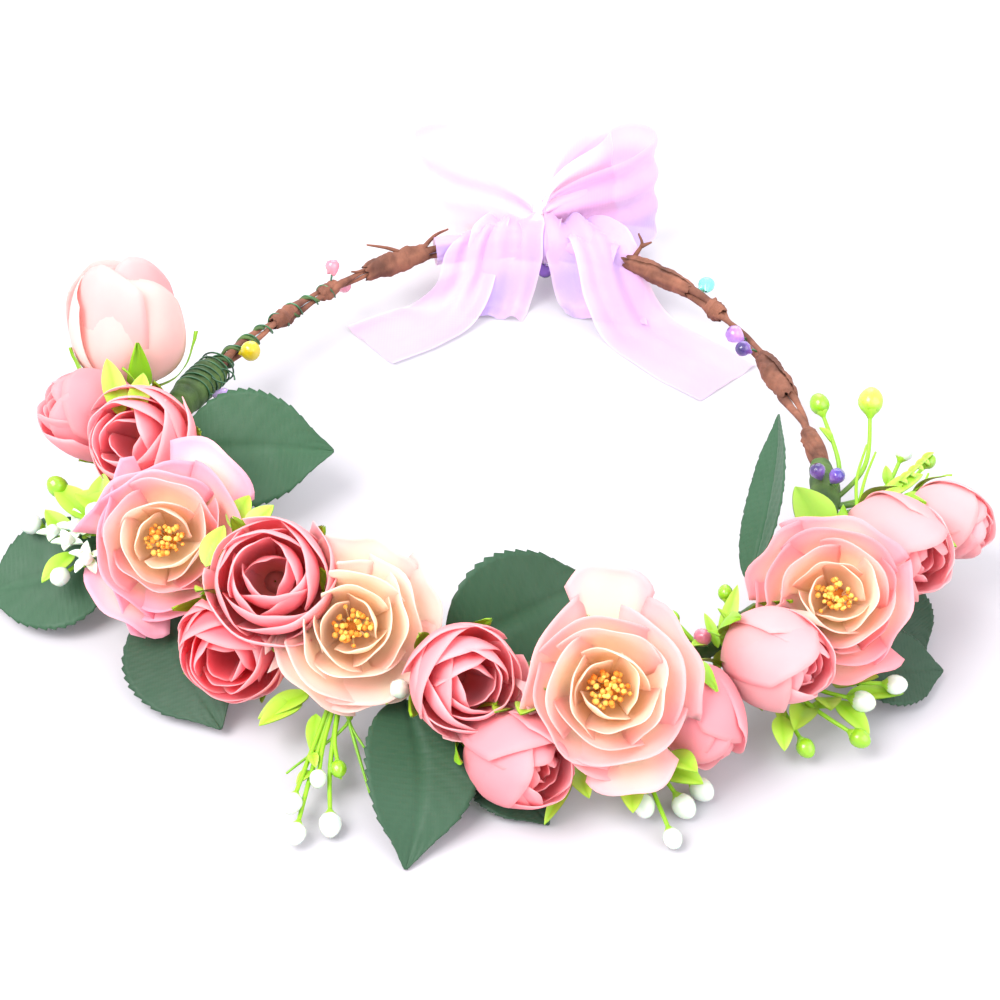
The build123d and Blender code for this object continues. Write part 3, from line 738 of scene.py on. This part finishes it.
# ---- Sprigs ------------------------------------------------------------------------------------
# where each sprig joins the hoop, and its tips as angle, out, up, kind and size
SPRIGS = [
    (201, [(199.4, 27.7, 4, "bell", 2.6), (204, 17.7, 8, "star", 2.8), (208.4, 25.1, 2, "bell", 2.4),
           (206.2, 13.3, 14, "bell", 2.6), (212.5, 20.5, 12, "star", 2.4),
           (197.2, 20.1, 10, "green", 2.6)]),
    (248, [(249.7, 37.5, -9, "bell", 2.3), (251, 43, -12, "bell", 2.4), (253.6, 38, -12.5, "bell", 2.6),
           (251, 30, -8, "bell", 2.0), (252.5, 26, -8, "green", 1.9)]),
    (287, [(292.5, 29, -12, "bell", 2.7), (286, 31, -11, "bell", 2.5), (290, 32, -12.5, "bell", 2.7),
           (287.5, 40, -13, "bell", 2.2)]),
    (307, [(313, 30.5, -6, "bell", 2.6), (317, 33.5, -5, "bell", 2.4), (310, 36, -9, "green", 2.3),
           (305.5, 29.5, -11, "green", 2.2)]),
    (341, [(356, -0.5, 15, "green", 2.6), (357, 13, 15, "big", 3.3), (350.5, 20, 8.5, "bell", 2.3),
           (349.5, 26, 8, "green", 1.8)]),
    (303, [(308, -5, 8, "green", 1.8), (299, -6, 6, "green", 1.8)]),
]
# loose lime leaflets: the sprig that each belongs to, its base, tip and width
LEAFLETS = [
    (1, (204, 14, 9), (196.4, 21.5, 11), 7.5), (1, (204, 12, 10), (200.2, 8.5, 17), 6.5),
    (1, (205, 10, 12), (201, 16.5, 14), 7.0), (1, (204, 16, 4), (209, 12, 13), 6.0),
    (1, (203, 12, 10), (206.5, 9, 17), 6.5), (1, (204, 20, 4), (199.2, 24.5, 8), 5.5),
    (1, (205, 20, 2), (207.4, 30, 0), 5.5), (1, (206, 13, 8), (212.6, 11.5, 19), 6.0),
    (1, (196, 2, 28), (186.4, 6.2, 34.5), 6.0), (1, (198, -2, 30), (191.5, -4.2, 35), 5.5),
    (2, (227.2, -8, 20), (227.6, -16.5, 24.5), 6.5), (2, (223, -9, 18), (219.8, -18, 21), 6.0),
    (2, (228, 6, 20), (226.0, -3.5, 25), 6.0), (2, (230.5, 8, 15), (232.4, 16.5, 24), 5.5),
    (2, (244.5, 12, -5), (242, 23, -5), 6.0), (2, (247, 14, -6), (249, 24, -9), 4.0),
    (2, (245, 10, -4), (241, 20.5, -6), 6.0), (2, (249, 8, -3), (251.5, 14, -5), 5.0),
    (3, (277, 12, 8), (276.8, 19.5, 15.5), 6.5), (3, (275, 15, 6), (273.2, 23.6, 12.5), 6.0),
    (3, (272, 14, 4), (270.4, 21.6, 11), 5.0), (3, (279, 22, -6), (280.2, 31.5, -7), 5.5),
    (3, (286.5, 24, -3), (286.2, 34, -1), 7.0), (3, (288, 27, -5), (291.5, 35, -4), 7.0),
    (3, (285, 27, -6), (284, 37, -7), 6.0), (3, (289, 26, -2), (290.6, 35.5, 1), 6.5),
    (3, (279, 24, -8), (275.4, 33.8, -12.5), 3.5),
    (4, (309.5, 22, -8), (304.5, 28, -6), 6.5), (4, (311, 24, -7), (308.6, 30, -3), 6.5),
    (4, (312, 26, -8), (311, 38, -9), 5.5), (4, (313, 27, -7), (318, 36, -8), 5.0),
    (4, (312, 24, -4), (314.6, 32.5, 1), 6.0), (4, (305, 22, -7), (302.6, 30, -9), 5.0),
    (5, (331, 2, 4), (335.4, -8.6, 12), 12.0), (5, (341, 14, 8), (346, 24, 10), 5.0),
    (5, (336, 24, 4), (334.2, 33.5, 9.5), 5.5), (5, (340, 17, 6), (342.4, 26, 9.5), 5.5),
    (6, (303, 4, 3), (309.6, -4, 11), 4.0), (6, (301, 3, 4), (297.4, 5.4, 8.5), 3.0),
    (6, (302, 5, 4), (303.2, -3.5, 7.5), 2.6), (6, (303, 6, 4), (304.2, 2.5, 11), 4.0),
    (6, (304, 8, 6), (300.4, 4, 10), 2.6), (6, (305, 5, 6), (303.5, 0.5, 12), 2.4),
    (2, (256, 6, 3), (256.6, 14, 2), 3.5),
]
PEARL_WHITE = shade(212, 222, 214)


def ball(size, tall=1.15, steps=9):
    """Profile of a drop that stands on its stem."""
    t = np.linspace(0, pi, steps)
    swell = 1 + 0.10 * np.cos(t)
    return np.stack([np.maximum(size * np.sin(t) * swell, 0.02), size * tall * (1 - np.cos(t))], -1)


def leaflet(shape, base, tip, width, colour_a=PALE_LIME, colour_b=LIME, lift=0.5):
    """A small pointed leaf folded along its middle."""
    ahead = unit(tip - base)
    across = unit(np.cross(ahead, UP + 0.2 * ahead))
    normal = np.cross(across, ahead)
    u, t = np.meshgrid(np.linspace(-1, 1, 9), np.linspace(0, 1, 13))
    wide = 0.5 * width * np.sin(pi * t ** 0.8) ** 0.8 + 0.03
    up = lift * np.sin(pi * t) + 0.22 * width * np.abs(u) * np.sin(pi * t) * 0.6
    points = (base + (np.linalg.norm(tip - base) * t)[..., None] * ahead
              + (wide * u)[..., None] * across + up[..., None] * normal)
    points[..., 2] = np.maximum(points[..., 2], TABLE + 0.3)
    tone = mixed(colour_b, colour_a, np.abs(u) * 0.6 + 0.2 * t)
    shape.grid(points, tone)
    shape.grid(points[:, ::-1] - 0.3 * normal, tone[:, ::-1])


bells = Shape()
for number, (root, tips) in enumerate(SPRIGS, start=1):
    stems = Shape()
    for count, (angle, out, up, kind, size) in enumerate(tips):
        start, end = by_hoop(root), by_hoop(angle, out, up)
        bend = start + (end - start) * 0.5 + direction(root, -25) * 5.0
        line = along_curve([start, bend, end], 22)
        line[:, 2] = np.maximum(line[:, 2], TABLE + 1.0)
        shades = mixed(MOSS, LIME, smooth(0.1, 0.6, np.linspace(0, 1, 22)))
        stems.tube(line, np.linspace(0.75, 0.5, 22), shades, sides=7)
        ahead = unit(line[-1] - line[-3])
        axes = facing(ahead)
        foot = line[-1] - ahead * size * 0.7
        cap = np.array([(.2, -.5), (.5, 0), (.85, .35), (.98, .8), (.7, .9)]) * size * 0.8
        stems.lathe(foot, axes, cap, mixed(LIME, PALE_LIME, np.linspace(0, 1, 5)), sides=12)
        if kind == "star":
            for point in range(5):
                turn = 2 * pi * point / 5 + count
                side = cos(turn) * axes[0] + sin(turn) * axes[1]
                leaflet(bells, foot + ahead * 0.6, foot + side * size * 1.8 + ahead * size * 0.9,
                        size * 1.1, PEARL_WHITE, shade(232, 244, 214), 0.4)
            profile = ball(size * 0.75)
        else:
            profile = ball(size)
        tone = {"green": LIME, "big": shade(178, 224, 70)}.get(kind, PEARL_WHITE)
        fade = mixed(shade(200, 226, 150) if kind in ("bell", "star") else STEM_GREEN,
                     tone, smooth(0.0, 0.35, np.linspace(0, 1, len(profile))))
        bells.lathe(foot, axes, profile, fade, sides=16, lobes=5, lobe=0.04)
        if size > 2.1 and kind != "big":
            at = line[14]
            side = unit(np.cross(ahead, UP)) * (1 if count % 2 else -1)
            leaflet(stems, at, at + ahead * 4.2 + side * 2.6 + UP * 0.8, 2.6)
    if number == 2:  # thin bare stems beside the bells
        for place in ((256.4, 28, -13), (254.6, 19, -9), (247.2, 30, -10)):
            line = along_curve([by_hoop(249, 6, -3), by_hoop(251.5, 14, -6), by_hoop(*place)], 14)
            stems.tube(line, np.linspace(0.55, 0.3, 14), mixed(STEM_GREEN, LIME, 0.5), sides=6)
    if number == 5:  # thin upright stems, and a twig with small leaflets in pairs
        for angle, out in ((348, 9), (349.5, 7), (345, 22)):
            line = along_curve(
                [by_hoop(337, 8, 6), by_hoop(343, out, 9), by_hoop(angle, out + 3, 12)], 12)
            stems.tube(line, np.linspace(0.5, 0.3, 12), LIME, sides=6)
        for share in (0.35, 0.55, 0.75, 0.92):
            at = by_hoop(341 + 8.5 * share, 14 + 11 * share, 9.5)
            for side in (-1, 1):
                leaflet(stems, at, at + np.array([2.6 + side, 2.5 * side, 1.2]), 1.8)
    for owner, base, tip, width in LEAFLETS:
        if owner == number:
            leaflet(stems, by_hoop(*base), by_hoop(*tip), width)
    stems.make(f"sprig_{number}_greenery", GREEN, slot="sprig_stem",
               replaces=[f"sprig_{number}_stems"])
# a bell on its own between two roses, and two more stars in the first sprig
single = by_hoop(258, 10.8, 4)
bells.lathe(single, facing((0, -0.6, 0.8)), ball(2.3), PEARL_WHITE, lobes=5, lobe=0.04)
for place in ((202.6, 23.5, 5), (205.6, 21.0, 6)):
    for point in range(5):
        turn = 2 * pi * point / 5 + place[1]
        petal_tip = by_hoop(*place) + np.array([4.2 * cos(turn), 4.2 * sin(turn), 1.8])
        leaflet(bells, by_hoop(*place), petal_tip, 2.6, PEARL_WHITE, shade(214, 226, 196), 0.4)
    bells.lathe(by_hoop(*place), facing((0, -0.3, 1)), ball(1.7), PEARL_WHITE, lobes=5, lobe=0.04)
bells.make("sprig_bells", PEARL, slot="pearl_bud", replaces=["sprig_buds"])


# ---- Pips --------------------------------------------------------------------------------------
VIOLET, DARK_VIOLET = shade(146, 100, 200), shade(38, 26, 96)
PIP_PINK, PIP_ROSE = shade(222, 140, 162), shade(196, 98, 128)
# where the wire joins the hoop; the pip; light and dark ends; and its size
PIPS = [
    (151, (152, -6, 3), shade(226, 212, 40), shade(206, 178, 14), 3.1),
    (124, (122, 3, 5), PIP_PINK, PIP_ROSE, 2.3),
    (121, (119.5, 4, -4), PIP_PINK, PIP_ROSE, 2.4),
    (166, (164.5, -8, -1), shade(186, 160, 220), VIOLET, 2.2),
    (82, (81, 3, -11), VIOLET, DARK_VIOLET, 2.5),
    (48, (49.5, 6.5, 0), shade(110, 208, 198), shade(64, 176, 170), 2.7),
    (32, (32.4, -4.5, 3.5), shade(206, 150, 244), VIOLET, 2.7),
    (28, (28, -5, 3), VIOLET, DARK_VIOLET, 2.4),
    (346, (345.3, -2.6, 6.4), VIOLET, DARK_VIOLET, 2.2),
    (345, (344.0, 2.0, 7.4), VIOLET, shade(58, 40, 150), 2.2),
    (300, (300.3, 2.5, 6.4), PIP_PINK, PIP_ROSE, 2.3),
]
pips, pip_stalks = Shape(), Shape()
for count, (root, place, light, dark, size) in enumerate(PIPS):
    foot, end = by_hoop(root), by_hoop(*place)
    ahead = unit(end - foot)
    for lobe, shift in enumerate((0.0, 1.0)):
        sideways = unit(np.cross(ahead, UP)) * (1 if count % 2 else -1)
        lean = unit(ahead + sideways * (0.9 * shift - 0.25))
        neck = end - lean * size
        body = size * (1.0 if lobe == 0 else 0.72)
        profile = [(.12, -1.3), (.30, -1.1), (.62, -.7), (.95, -.1), (1.0, .35), (.72, .85),
                   (.02, 1.05)]
        tones = mixed(light, dark, smooth(0.45, 0.95, np.linspace(0, 1, 7)))
        pips.lathe(neck + lean * body, facing(lean), np.array(profile) * body * 0.95, tones, sides=16)
    pip_stalks.tube(along_curve([foot, foot + ahead * 1.5 + UP * 0.6, end - ahead * size], 10), 0.32,
                    shade(126, 110, 84), sides=6)
pips.make("berry_pip_beads", PIP, slot="berry_pip", replaces=["berry_pips"])
# a loose curl of wire beside the tape's start
curl_at = by_hoop(160, -5, 1)
swing = np.linspace(0, 1.6 * pi, 26)
curl = curl_at + np.stack([3.2 * np.cos(swing), 3.2 * np.sin(swing) - 2, 2 * np.sin(swing / 2)], -1)
pip_stalks.tube(curl, 0.25, shade(120, 130, 130), sides=6)
pip_stalks.make("pip_stalks", WIRE, slot="pip_wire", replaces=["pip_wires"])


# ---- The hoop ----------------------------------------------------------------------------------
# how thick the bark is round the bare part of the hoop: angle and radius
BULK = np.array([
    (-10, 1.5), (2, 1.3), (8, 1.9), (14, 2.5), (22, 2.7), (27, 1.5), (34, 1.4), (40, 1.5), (43, 2.6),
    (46, 1.7), (52, 2.2), (60, 2.7), (66, 2.0), (82, 1.7), (98, 1.8), (104, 2.3), (110, 2.7),
    (114, 1.2), (119, 1.5), (124, 2.0), (129, 1.4), (135, 2.2), (142, 1.5), (150, 2.1), (158, 2.4),
    (352, 2.2),
], float)


def bulk(angle):
    return np.interp(angle, BULK[:, 0], BULK[:, 1])


def uneven(draw, a, b, count, step):
    """A random value at every step-th of count points, with even changes in between."""
    at = np.arange(0, count + step, step)
    return np.interp(np.arange(count), at, draw(a, b, len(at)))


def wound(start, end, count, offset, turns, phase=0.0, wobble=0.0, seed=1):
    """A line that winds round the hoop, with offset as a function of the angle, and its angles."""
    angle = np.linspace(start, end, count)
    wind = radians(phase) + 2 * pi * turns * np.linspace(0, 1, count)
    reach = offset(angle)
    if wobble:
        reach = reach * (1 + uneven(np.random.default_rng(seed).normal, 0, wobble, count, 8))
    return by_hoop(angle, reach * np.cos(wind), reach * np.sin(wind)), angle


def bark_strand(name, node, phase, seed):
    """One paper-bark strand: a knotty, flattened rod that winds round the wire."""
    rng = np.random.default_rng(seed)
    count = 1100
    line, angle = wound(-7, 360, count, lambda a: 0.55 * bulk(a % 360), 11, phase, 0.10, seed)
    knots = uneven(rng.normal, 0, 0.16, count, 10)
    radius = np.maximum(0.62 * bulk(angle % 360) * (1 + knots), 0.5)
    light = uneven(rng.uniform, 0.55, 1.1, count, 14)
    shape = Shape()
    shape.tube(line, radius, np.ones((count, 3)) * light[:, None], sides=10, squash=0.8)
    shape.make(name, BARK, slot="vine_paper", replaces=[node])


def paper_sleeve(shape, start, end, radius, seed):
    """A torn strip of bark paper rolled round the hoop, open along its edge."""
    rng = np.random.default_rng(seed)
    n, m = 90, 34
    v, u = np.meshgrid(np.linspace(0, 1, n), np.linspace(0, 1, m), indexing="ij")
    ragged = rng.uniform(0, 1, m)
    angle = start + (end - start) * (v * (1 - 0.14 * ragged) + 0.07 * ragged)
    turn = 2 * pi * 1.12 * u + 0.9 * v + seed
    swell = 0.55 + 0.45 * np.sin(pi * np.clip(v, 0.02, 0.98)) ** 0.5
    ripple = 0.10 * u + 0.07 * np.sin(7 * u + 9 * v + seed) + 0.04 * np.sin(23 * v)
    reach = radius * swell * (1 + ripple)
    grain = np.interp(np.arange(m), np.arange(0, m, 2), rng.normal(0, 0.07, (m + 1) // 2))
    reach = reach * (1 + grain * (1 + 0.6 * np.sin(19 * v + seed)) + 0.02 * np.sin(61 * v + 13 * u))
    points = by_hoop(angle, reach * np.cos(turn), reach * np.sin(turn))
    tone = (0.85 + 0.2 * np.sin(9 * u + 3 * v + seed) + 2.2 * grain)[..., None] * np.ones(3)
    shape.grid(points, tone)
    shape.grid(points[:, ::-1] + 0.25 * unit(by_hoop(angle) - points)[:, ::-1], tone[:, ::-1] * 1.15)


bark_strand("bark_strand_a", "vine_strand_a", 0, 11)
bark_strand("bark_strand_b", "vine_strand_b", 180, 12)
sleeves = Shape()
for start, end, radius in ((12, 27, 3.0), (41, 45.5, 2.7), (50, 66, 3.0), (102, 116, 3.3),
                           (122, 127, 2.4), (133, 140, 2.6), (353, 363, 2.3)):
    paper_sleeve(sleeves, start, end, radius, start + 7)
TWIGS = [
    [(107, 0, 2), (110, 2, 4.5), (113.5, 6, 5.5)], [(103, 1, 2), (100.5, 4, 3.5), (98, 7, 3)],
    [(64, 1, 2), (63.4, 4.5, 5), (64.6, 6.5, 7)], [(63.4, 4.0, 4.6), (62, 6.5, 5.6)],
    [(113, 0, 1), (117, 0, 1.6), (118.5, 0.6, 2.2)], [(66, 0, 1), (69, 1.5, 1)],
]
for twig in TWIGS:
    line = along_curve([by_hoop(*place) for place in twig], 14)
    sleeves.tube(line, np.linspace(0.8, 0.3, 14), np.array([0.7, 0.65, 0.6]), sides=7)
sleeves.make("bark_paper_sleeves", BARK, slot="vine_paper")

core = Shape()
core.tube(by_hoop(np.linspace(83, 441, 400)), 0.45, shade(170, 172, 176), sides=8)
core.make("steel_core", STEEL, slot="steel_wire", replaces=["hoop_wire"])


def round_grid(rows, columns):
    """How far along each point of a sleeve is, from 0 to 1, and its turn round the hoop."""
    return np.meshgrid(np.linspace(0, 1, rows), np.linspace(0, 2 * pi, columns, endpoint=False),
                       indexing="ij")


def tape_piece():
    """Crepe tape wound on at a slant, thicker where the stems are bound in at its start."""
    v, turn = round_grid(620, 20)
    angle = TAPE_START - 1 + (TAPE_END - TAPE_START + 2) * v
    lap = (v * 62 - turn / (2 * pi)) % 1.0
    thick = 3.2 + 1.5 * (1 - smooth(166, 174, angle)) * smooth(156, 160, angle)
    thick = thick + 0.6 * np.sin(angle * 0.35) * smooth(170, 190, angle)
    reach = thick + 0.35 * lap + 0.10 * np.sin(5 * turn + 40 * v)
    reach = reach * (0.35 + 0.65 * smooth(0, 0.004, v) * (1 - smooth(0.996, 1, v)))
    points = by_hoop(angle, reach * np.cos(turn), reach * np.sin(turn))
    tone = (0.75 + 0.4 * lap)[..., None] * np.array([0.9, 1.0, 0.8])
    shape = Shape()
    shape.grid(points, tone, closed=True)
    shape.make("crepe_tape_wrap", CREPE, slot="floral_tape", replaces=["floral_tape"])


tape_piece()

binding = Shape()
line, _ = wound(TAPE_START + 8, TAPE_START - 2, 260, lambda a: 4.9 + 0 * a, 7, 20, 0.02, 31)
binding.tube(line, 0.28, WHITE, sides=6)
line, _ = wound(TAPE_START - 1, BINDING_END, 420, lambda a: bulk(a) + 0.55, 8, 0, 0.06, 32)
binding.tube(line, 0.30, WHITE, sides=6)
binding.make("binding_wire_coil", WIRE, slot="binding_wire", replaces=["binding_wire"])
leftover = Shape()
for start, end, turns, seed in ((157, 143, 3.2, 41), (137, 128, 1.4, 42)):
    line, _ = wound(start, end, 150, lambda a: bulk(a) * 0.95 + 0.15, turns, 40, 0.05, seed)
    leftover.tube(line, 0.85, np.array([1.25, 1.35, 0.9]), sides=8, squash=0.5)
leftover.make("crepe_tape_strip", CREPE, slot="floral_tape")


# ---- The ribbon --------------------------------------------------------------------------------
RIBBON_PINK = shade(229, 182, 215)
RIBBON_LILAC = shade(196, 174, 233)
KNOT = by_hoop(82)
GATHERED = 11             # width of the loops where the knot holds them


def ribbon(middles, sides, widths, tone_a, tone_b, pleat, pleats, phase, across=25):
    """A strip whose middle line, side direction and width are given along it, with soft pleats."""
    rows = len(middles)
    ahead = unit(np.gradient(middles, axis=0))
    sides = unit(sides)
    normal = unit(np.cross(ahead, sides))
    u = np.linspace(-1, 1, across)
    t = np.linspace(0, 1, rows)[:, None]
    gather = 1 - widths / widths.max()
    wave = (pleat * (0.35 + 2.0 * gather[:, None]) * np.sin(pleats * pi * u[None] + phase + 1.5 * t)
            + 0.5 * pleat * np.sin(1.3 * pleats * pi * u[None] - 2.5 * t + 2 * phase))
    points = (middles[:, None] + (0.5 * widths[:, None] * u[None])[..., None] * sides[:, None]
              + wave[..., None] * normal[:, None])
    low = TABLE + 0.35
    points[..., 2] = np.where(points[..., 2] < low, low + 0.05 * (low - points[..., 2]), points[..., 2])
    edge = smooth(0.90, 1.0, np.abs(u))[None]
    tone = mixed(tone_a, tone_b, 0.5 + 0.5 * np.sin(3 * t + 2 * u[None] + phase))
    tone = mixed(tone, WHITE, 0.35 * edge + 0 * t)
    shape = Shape()
    shape.grid(points, tone)
    return shape


def bow_loop(name, side, reach, depth, height, phase, tone_a, tone_b, nodes=()):
    """A loop that stands behind the knot: out along its back, round, and in along its front."""
    x, y = KNOT[0], KNOT[1] + 11
    places = [(x + side * 2, y - 1), (x + side * 0.30 * reach, y + 0.45 * depth),
              (x + side * 0.72 * reach, y + 0.95 * depth), (x + side * reach, y + 0.55 * depth),
              (x + side * 0.78 * reach, y - 0.02 * depth), (x + side * 0.34 * reach, y - 0.12 * depth),
              (x + side * 2, y - 3)]
    lean = [0, 2, 5, 6, 4, 1, 0]
    centre = [(px, py, height + dz) for (px, py), dz in zip(places, lean)]
    middles = along_curve(centre, 64)
    t = np.linspace(0, 1, 64)
    widths = GATHERED + (RIBBON_WIDTH - GATHERED) * np.sin(pi * t) ** 0.55
    tilt = np.stack([0.10 * np.sin(4 * t + phase) * side, 0.16 * np.cos(5 * t), 1 + 0 * t], -1)
    shape = ribbon(middles, tilt, widths, tone_a, tone_b, 0.9, 2.6, phase)
    piece = shape.make(name, ORGANZA, slot="ribbon", replaces=nodes)


def knot_piece():
    """The knot: a short length of ribbon gathered tight round the hoop."""
    turn = np.linspace(0, 2 * pi * 1.1, 60)
    middles = np.stack([KNOT[0] + 0.6 * np.sin(turn), KNOT[1] + 2 + 7.4 * np.cos(turn),
                        6.3 * np.sin(turn)], -1)
    side = np.stack([1 + 0 * turn, 0.1 * np.sin(turn), 0.1 * np.cos(turn)], -1)
    widths = 13 + 1.5 * np.sin(2 * turn)
    shape = ribbon(middles, side, widths, RIBBON_PINK, RIBBON_LILAC, 0.35, 6.0, 1.0, 31)
    piece = shape.make("ribbon_knot", ORGANZA, slot="ribbon", replaces=["bow_knot"])


def winding_piece():
    """Ribbon wound round the back of the hoop, with slanting pleats."""
    v, turn = round_grid(120, 30)
    angle = WRAP_START + (WRAP_END - WRAP_START) * v
    lap = (v * 5 - turn / (2 * pi)) % 1.0
    reach = 3.9 + 0.7 * lap + 0.25 * np.sin(5 * turn + 30 * v) + 0.15 * np.sin(11 * turn - 17 * v)
    points = by_hoop(angle, reach * np.cos(turn), reach * np.sin(turn))
    tone = mixed(RIBBON_PINK, RIBBON_LILAC, 0.5 + 0.5 * np.sin(12 * v + turn))
    shape = Shape()
    shape.grid(points, tone, closed=True)
    piece = shape.make("ribbon_winding", ORGANZA, slot="ribbon", replaces=["ribbon_wrap"])


def swag(name, places, sides, widths, tone_a, tone_b, pleat, phase, body="root", nodes=(), bend=None):
    """A length of ribbon that hangs over the hoop. One given bend rides on no body, and the two
    points of bend are not used."""
    middles = along_curve(places, 60)
    t = np.linspace(0, 1, 60)
    side = np.stack([np.interp(t, np.linspace(0, 1, len(sides)), np.array(sides, float)[:, k])
                     for k in range(3)], -1)
    width = np.interp(t, np.linspace(0, 1, len(widths)), widths)
    shape = ribbon(middles, side, width, tone_a, tone_b, pleat, 2.2, phase)
    piece = shape.make(name, ORGANZA, body=None if bend else body, slot="ribbon", replaces=nodes)
    if bend:
        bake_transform(piece)


knot_piece()
winding_piece()
bow_loop("bow_loop_left", -1, 38, 17, 4, 0.4, RIBBON_PINK, WHITE, ["bow_loops"])
bow_loop("bow_loop_right", 1, 38, 17, 4, 1.7, RIBBON_PINK, RIBBON_LILAC)
bow_loop("bow_loop_small", 1, 24, 10, 8, 3.1, RIBBON_PINK, WHITE)
LOW = TABLE + 0.6
swag("ribbon_end_left",
     [(-1, 104, 2), (-3, 99, 6), (-6, 94, 3), (-9, 88.5, -6), (-16, 82, LOW + 1), (-25, 75, LOW),
      (-38, 66, LOW)],
     [(0.85, 0.35, 0.1), (0.9, 0.35, 0.1), (0.75, -0.6, 0), (0.6, -0.78, 0)],
     [15, 20, 20, 24, 26, 25], RIBBON_LILAC, RIBBON_PINK, 0.8, 0.3, body="tail_left",
     nodes=["ribbon_tail_left"], bend=((-4, 92, -3), (-12, 86.5, -10)))
swag("ribbon_end_right",
     [(30, 101, 2), (32, 96, 6), (35, 89, 3), (38, 82.5, -6), (44, 75, LOW + 1), (54, 64, LOW),
      (70, 47, LOW)],
     [(0.9, 0.2, 0.1), (0.9, 0.3, 0.1), (0.75, 0.65, 0), (0.72, 0.7, 0)],
     [16, 20, 22, 26, 28, 26], RIBBON_PINK, RIBBON_LILAC, 0.8, 1.3, body="tail_right",
     nodes=["ribbon_tail_right"], bend=((36, 86.5, -3), (41, 80.5, -10)))
swag("ribbon_fold_left",
     [(7, 110, 4), (6, 104, 6.5), (4, 97, 5.5), (3, 91.5, -2), (1, 87, LOW + 2), (0, 81, LOW + 0.4)],
     [(1, 0.05, 0), (1, 0, 0.05), (1, -0.1, 0), (1, -0.15, 0)],
     [14, 22, 24, 22, 18], RIBBON_LILAC, RIBBON_PINK, 1.0, 2.2)
swag("ribbon_fold_right",
     [(24, 109, 4), (26, 104, 6.5), (29, 96, 5.5), (31.5, 90, -2), (33.5, 85, LOW + 2),
      (35, 79, LOW + 0.4)],
     [(1, -0.05, 0), (1, -0.1, 0.05), (1, -0.2, 0), (1, -0.25, 0)],
     [16, 27, 30, 29, 26], RIBBON_PINK, RIBBON_LILAC, 1.2, 0.8)


# ---- Floor, light and camera -------------------------------------------------------------------
def floor_piece():
    mesh = bpy.data.meshes.new("table_top")
    half, low = 3.0, cad_box[0].z
    corners = [(-half, -half, low), (half, -half, low), (half, half, low), (-half, half, low)]
    mesh.from_pydata(corners, [], [(0, 1, 2, 3)])
    table = bpy.data.objects.new("table_top", mesh)
    bpy.context.scene.collection.objects.link(table)
    look = Look("pale_table", Roughness=0.9)
    look.colour(look.blend(look.noise(3), shade(182, 180, 183), shade(178, 176, 183)))
    mesh.materials.append(look.material)


def area_light(name, place, aim, size, power, colour=(1, 1, 1)):
    data = bpy.data.lights.new(name, "AREA")
    data.size, data.energy, data.color = size, power, colour
    lamp = bpy.data.objects.new(name, data)
    bpy.context.scene.collection.objects.link(lamp)
    lamp.location = place
    lamp.rotation_euler = (Vector(aim) - Vector(place)).to_track_quat("-Z", "Y").to_euler()


floor_piece()
area_light("key", (-0.5, -0.35, 0.8), (0, -0.02, 0), 0.6, 13.5, (1.0, 0.985, 0.97))
area_light("fill", (0.7, -0.5, 0.6), (0, 0, 0), 0.9, 6.0, (0.97, 0.98, 1.0))
area_light("back", (0.1, 0.8, 0.7), (0, 0, 0), 0.8, 5.0)

world = bpy.data.worlds.new("studio")
bpy.context.scene.world = world
world.use_nodes = True
sky = world.node_tree.nodes["Background"].inputs
sky["Color"].default_value = (0.97, 0.97, 1.0, 1)
sky["Strength"].default_value = 1.5

ELEVATION = radians(39.84)
DISTANCE = 0.4703         # metres, as is TARGET
TARGET = Vector((0.00187, -0.0261, 0))
camera = bpy.data.objects.new("camera", bpy.data.cameras.new("camera"))
camera.data.lens = 64.8
camera.data.sensor_width = 36
camera.location = TARGET + Vector((0, -cos(ELEVATION), sin(ELEVATION))) * DISTANCE
camera.rotation_euler = (pi / 2 - ELEVATION, 0, 0)
camera.data.clip_start = 0.01
bpy.context.scene.collection.objects.link(camera)
bpy.context.scene.camera = camera
bpy.context.scene.view_settings.view_transform = "Standard"
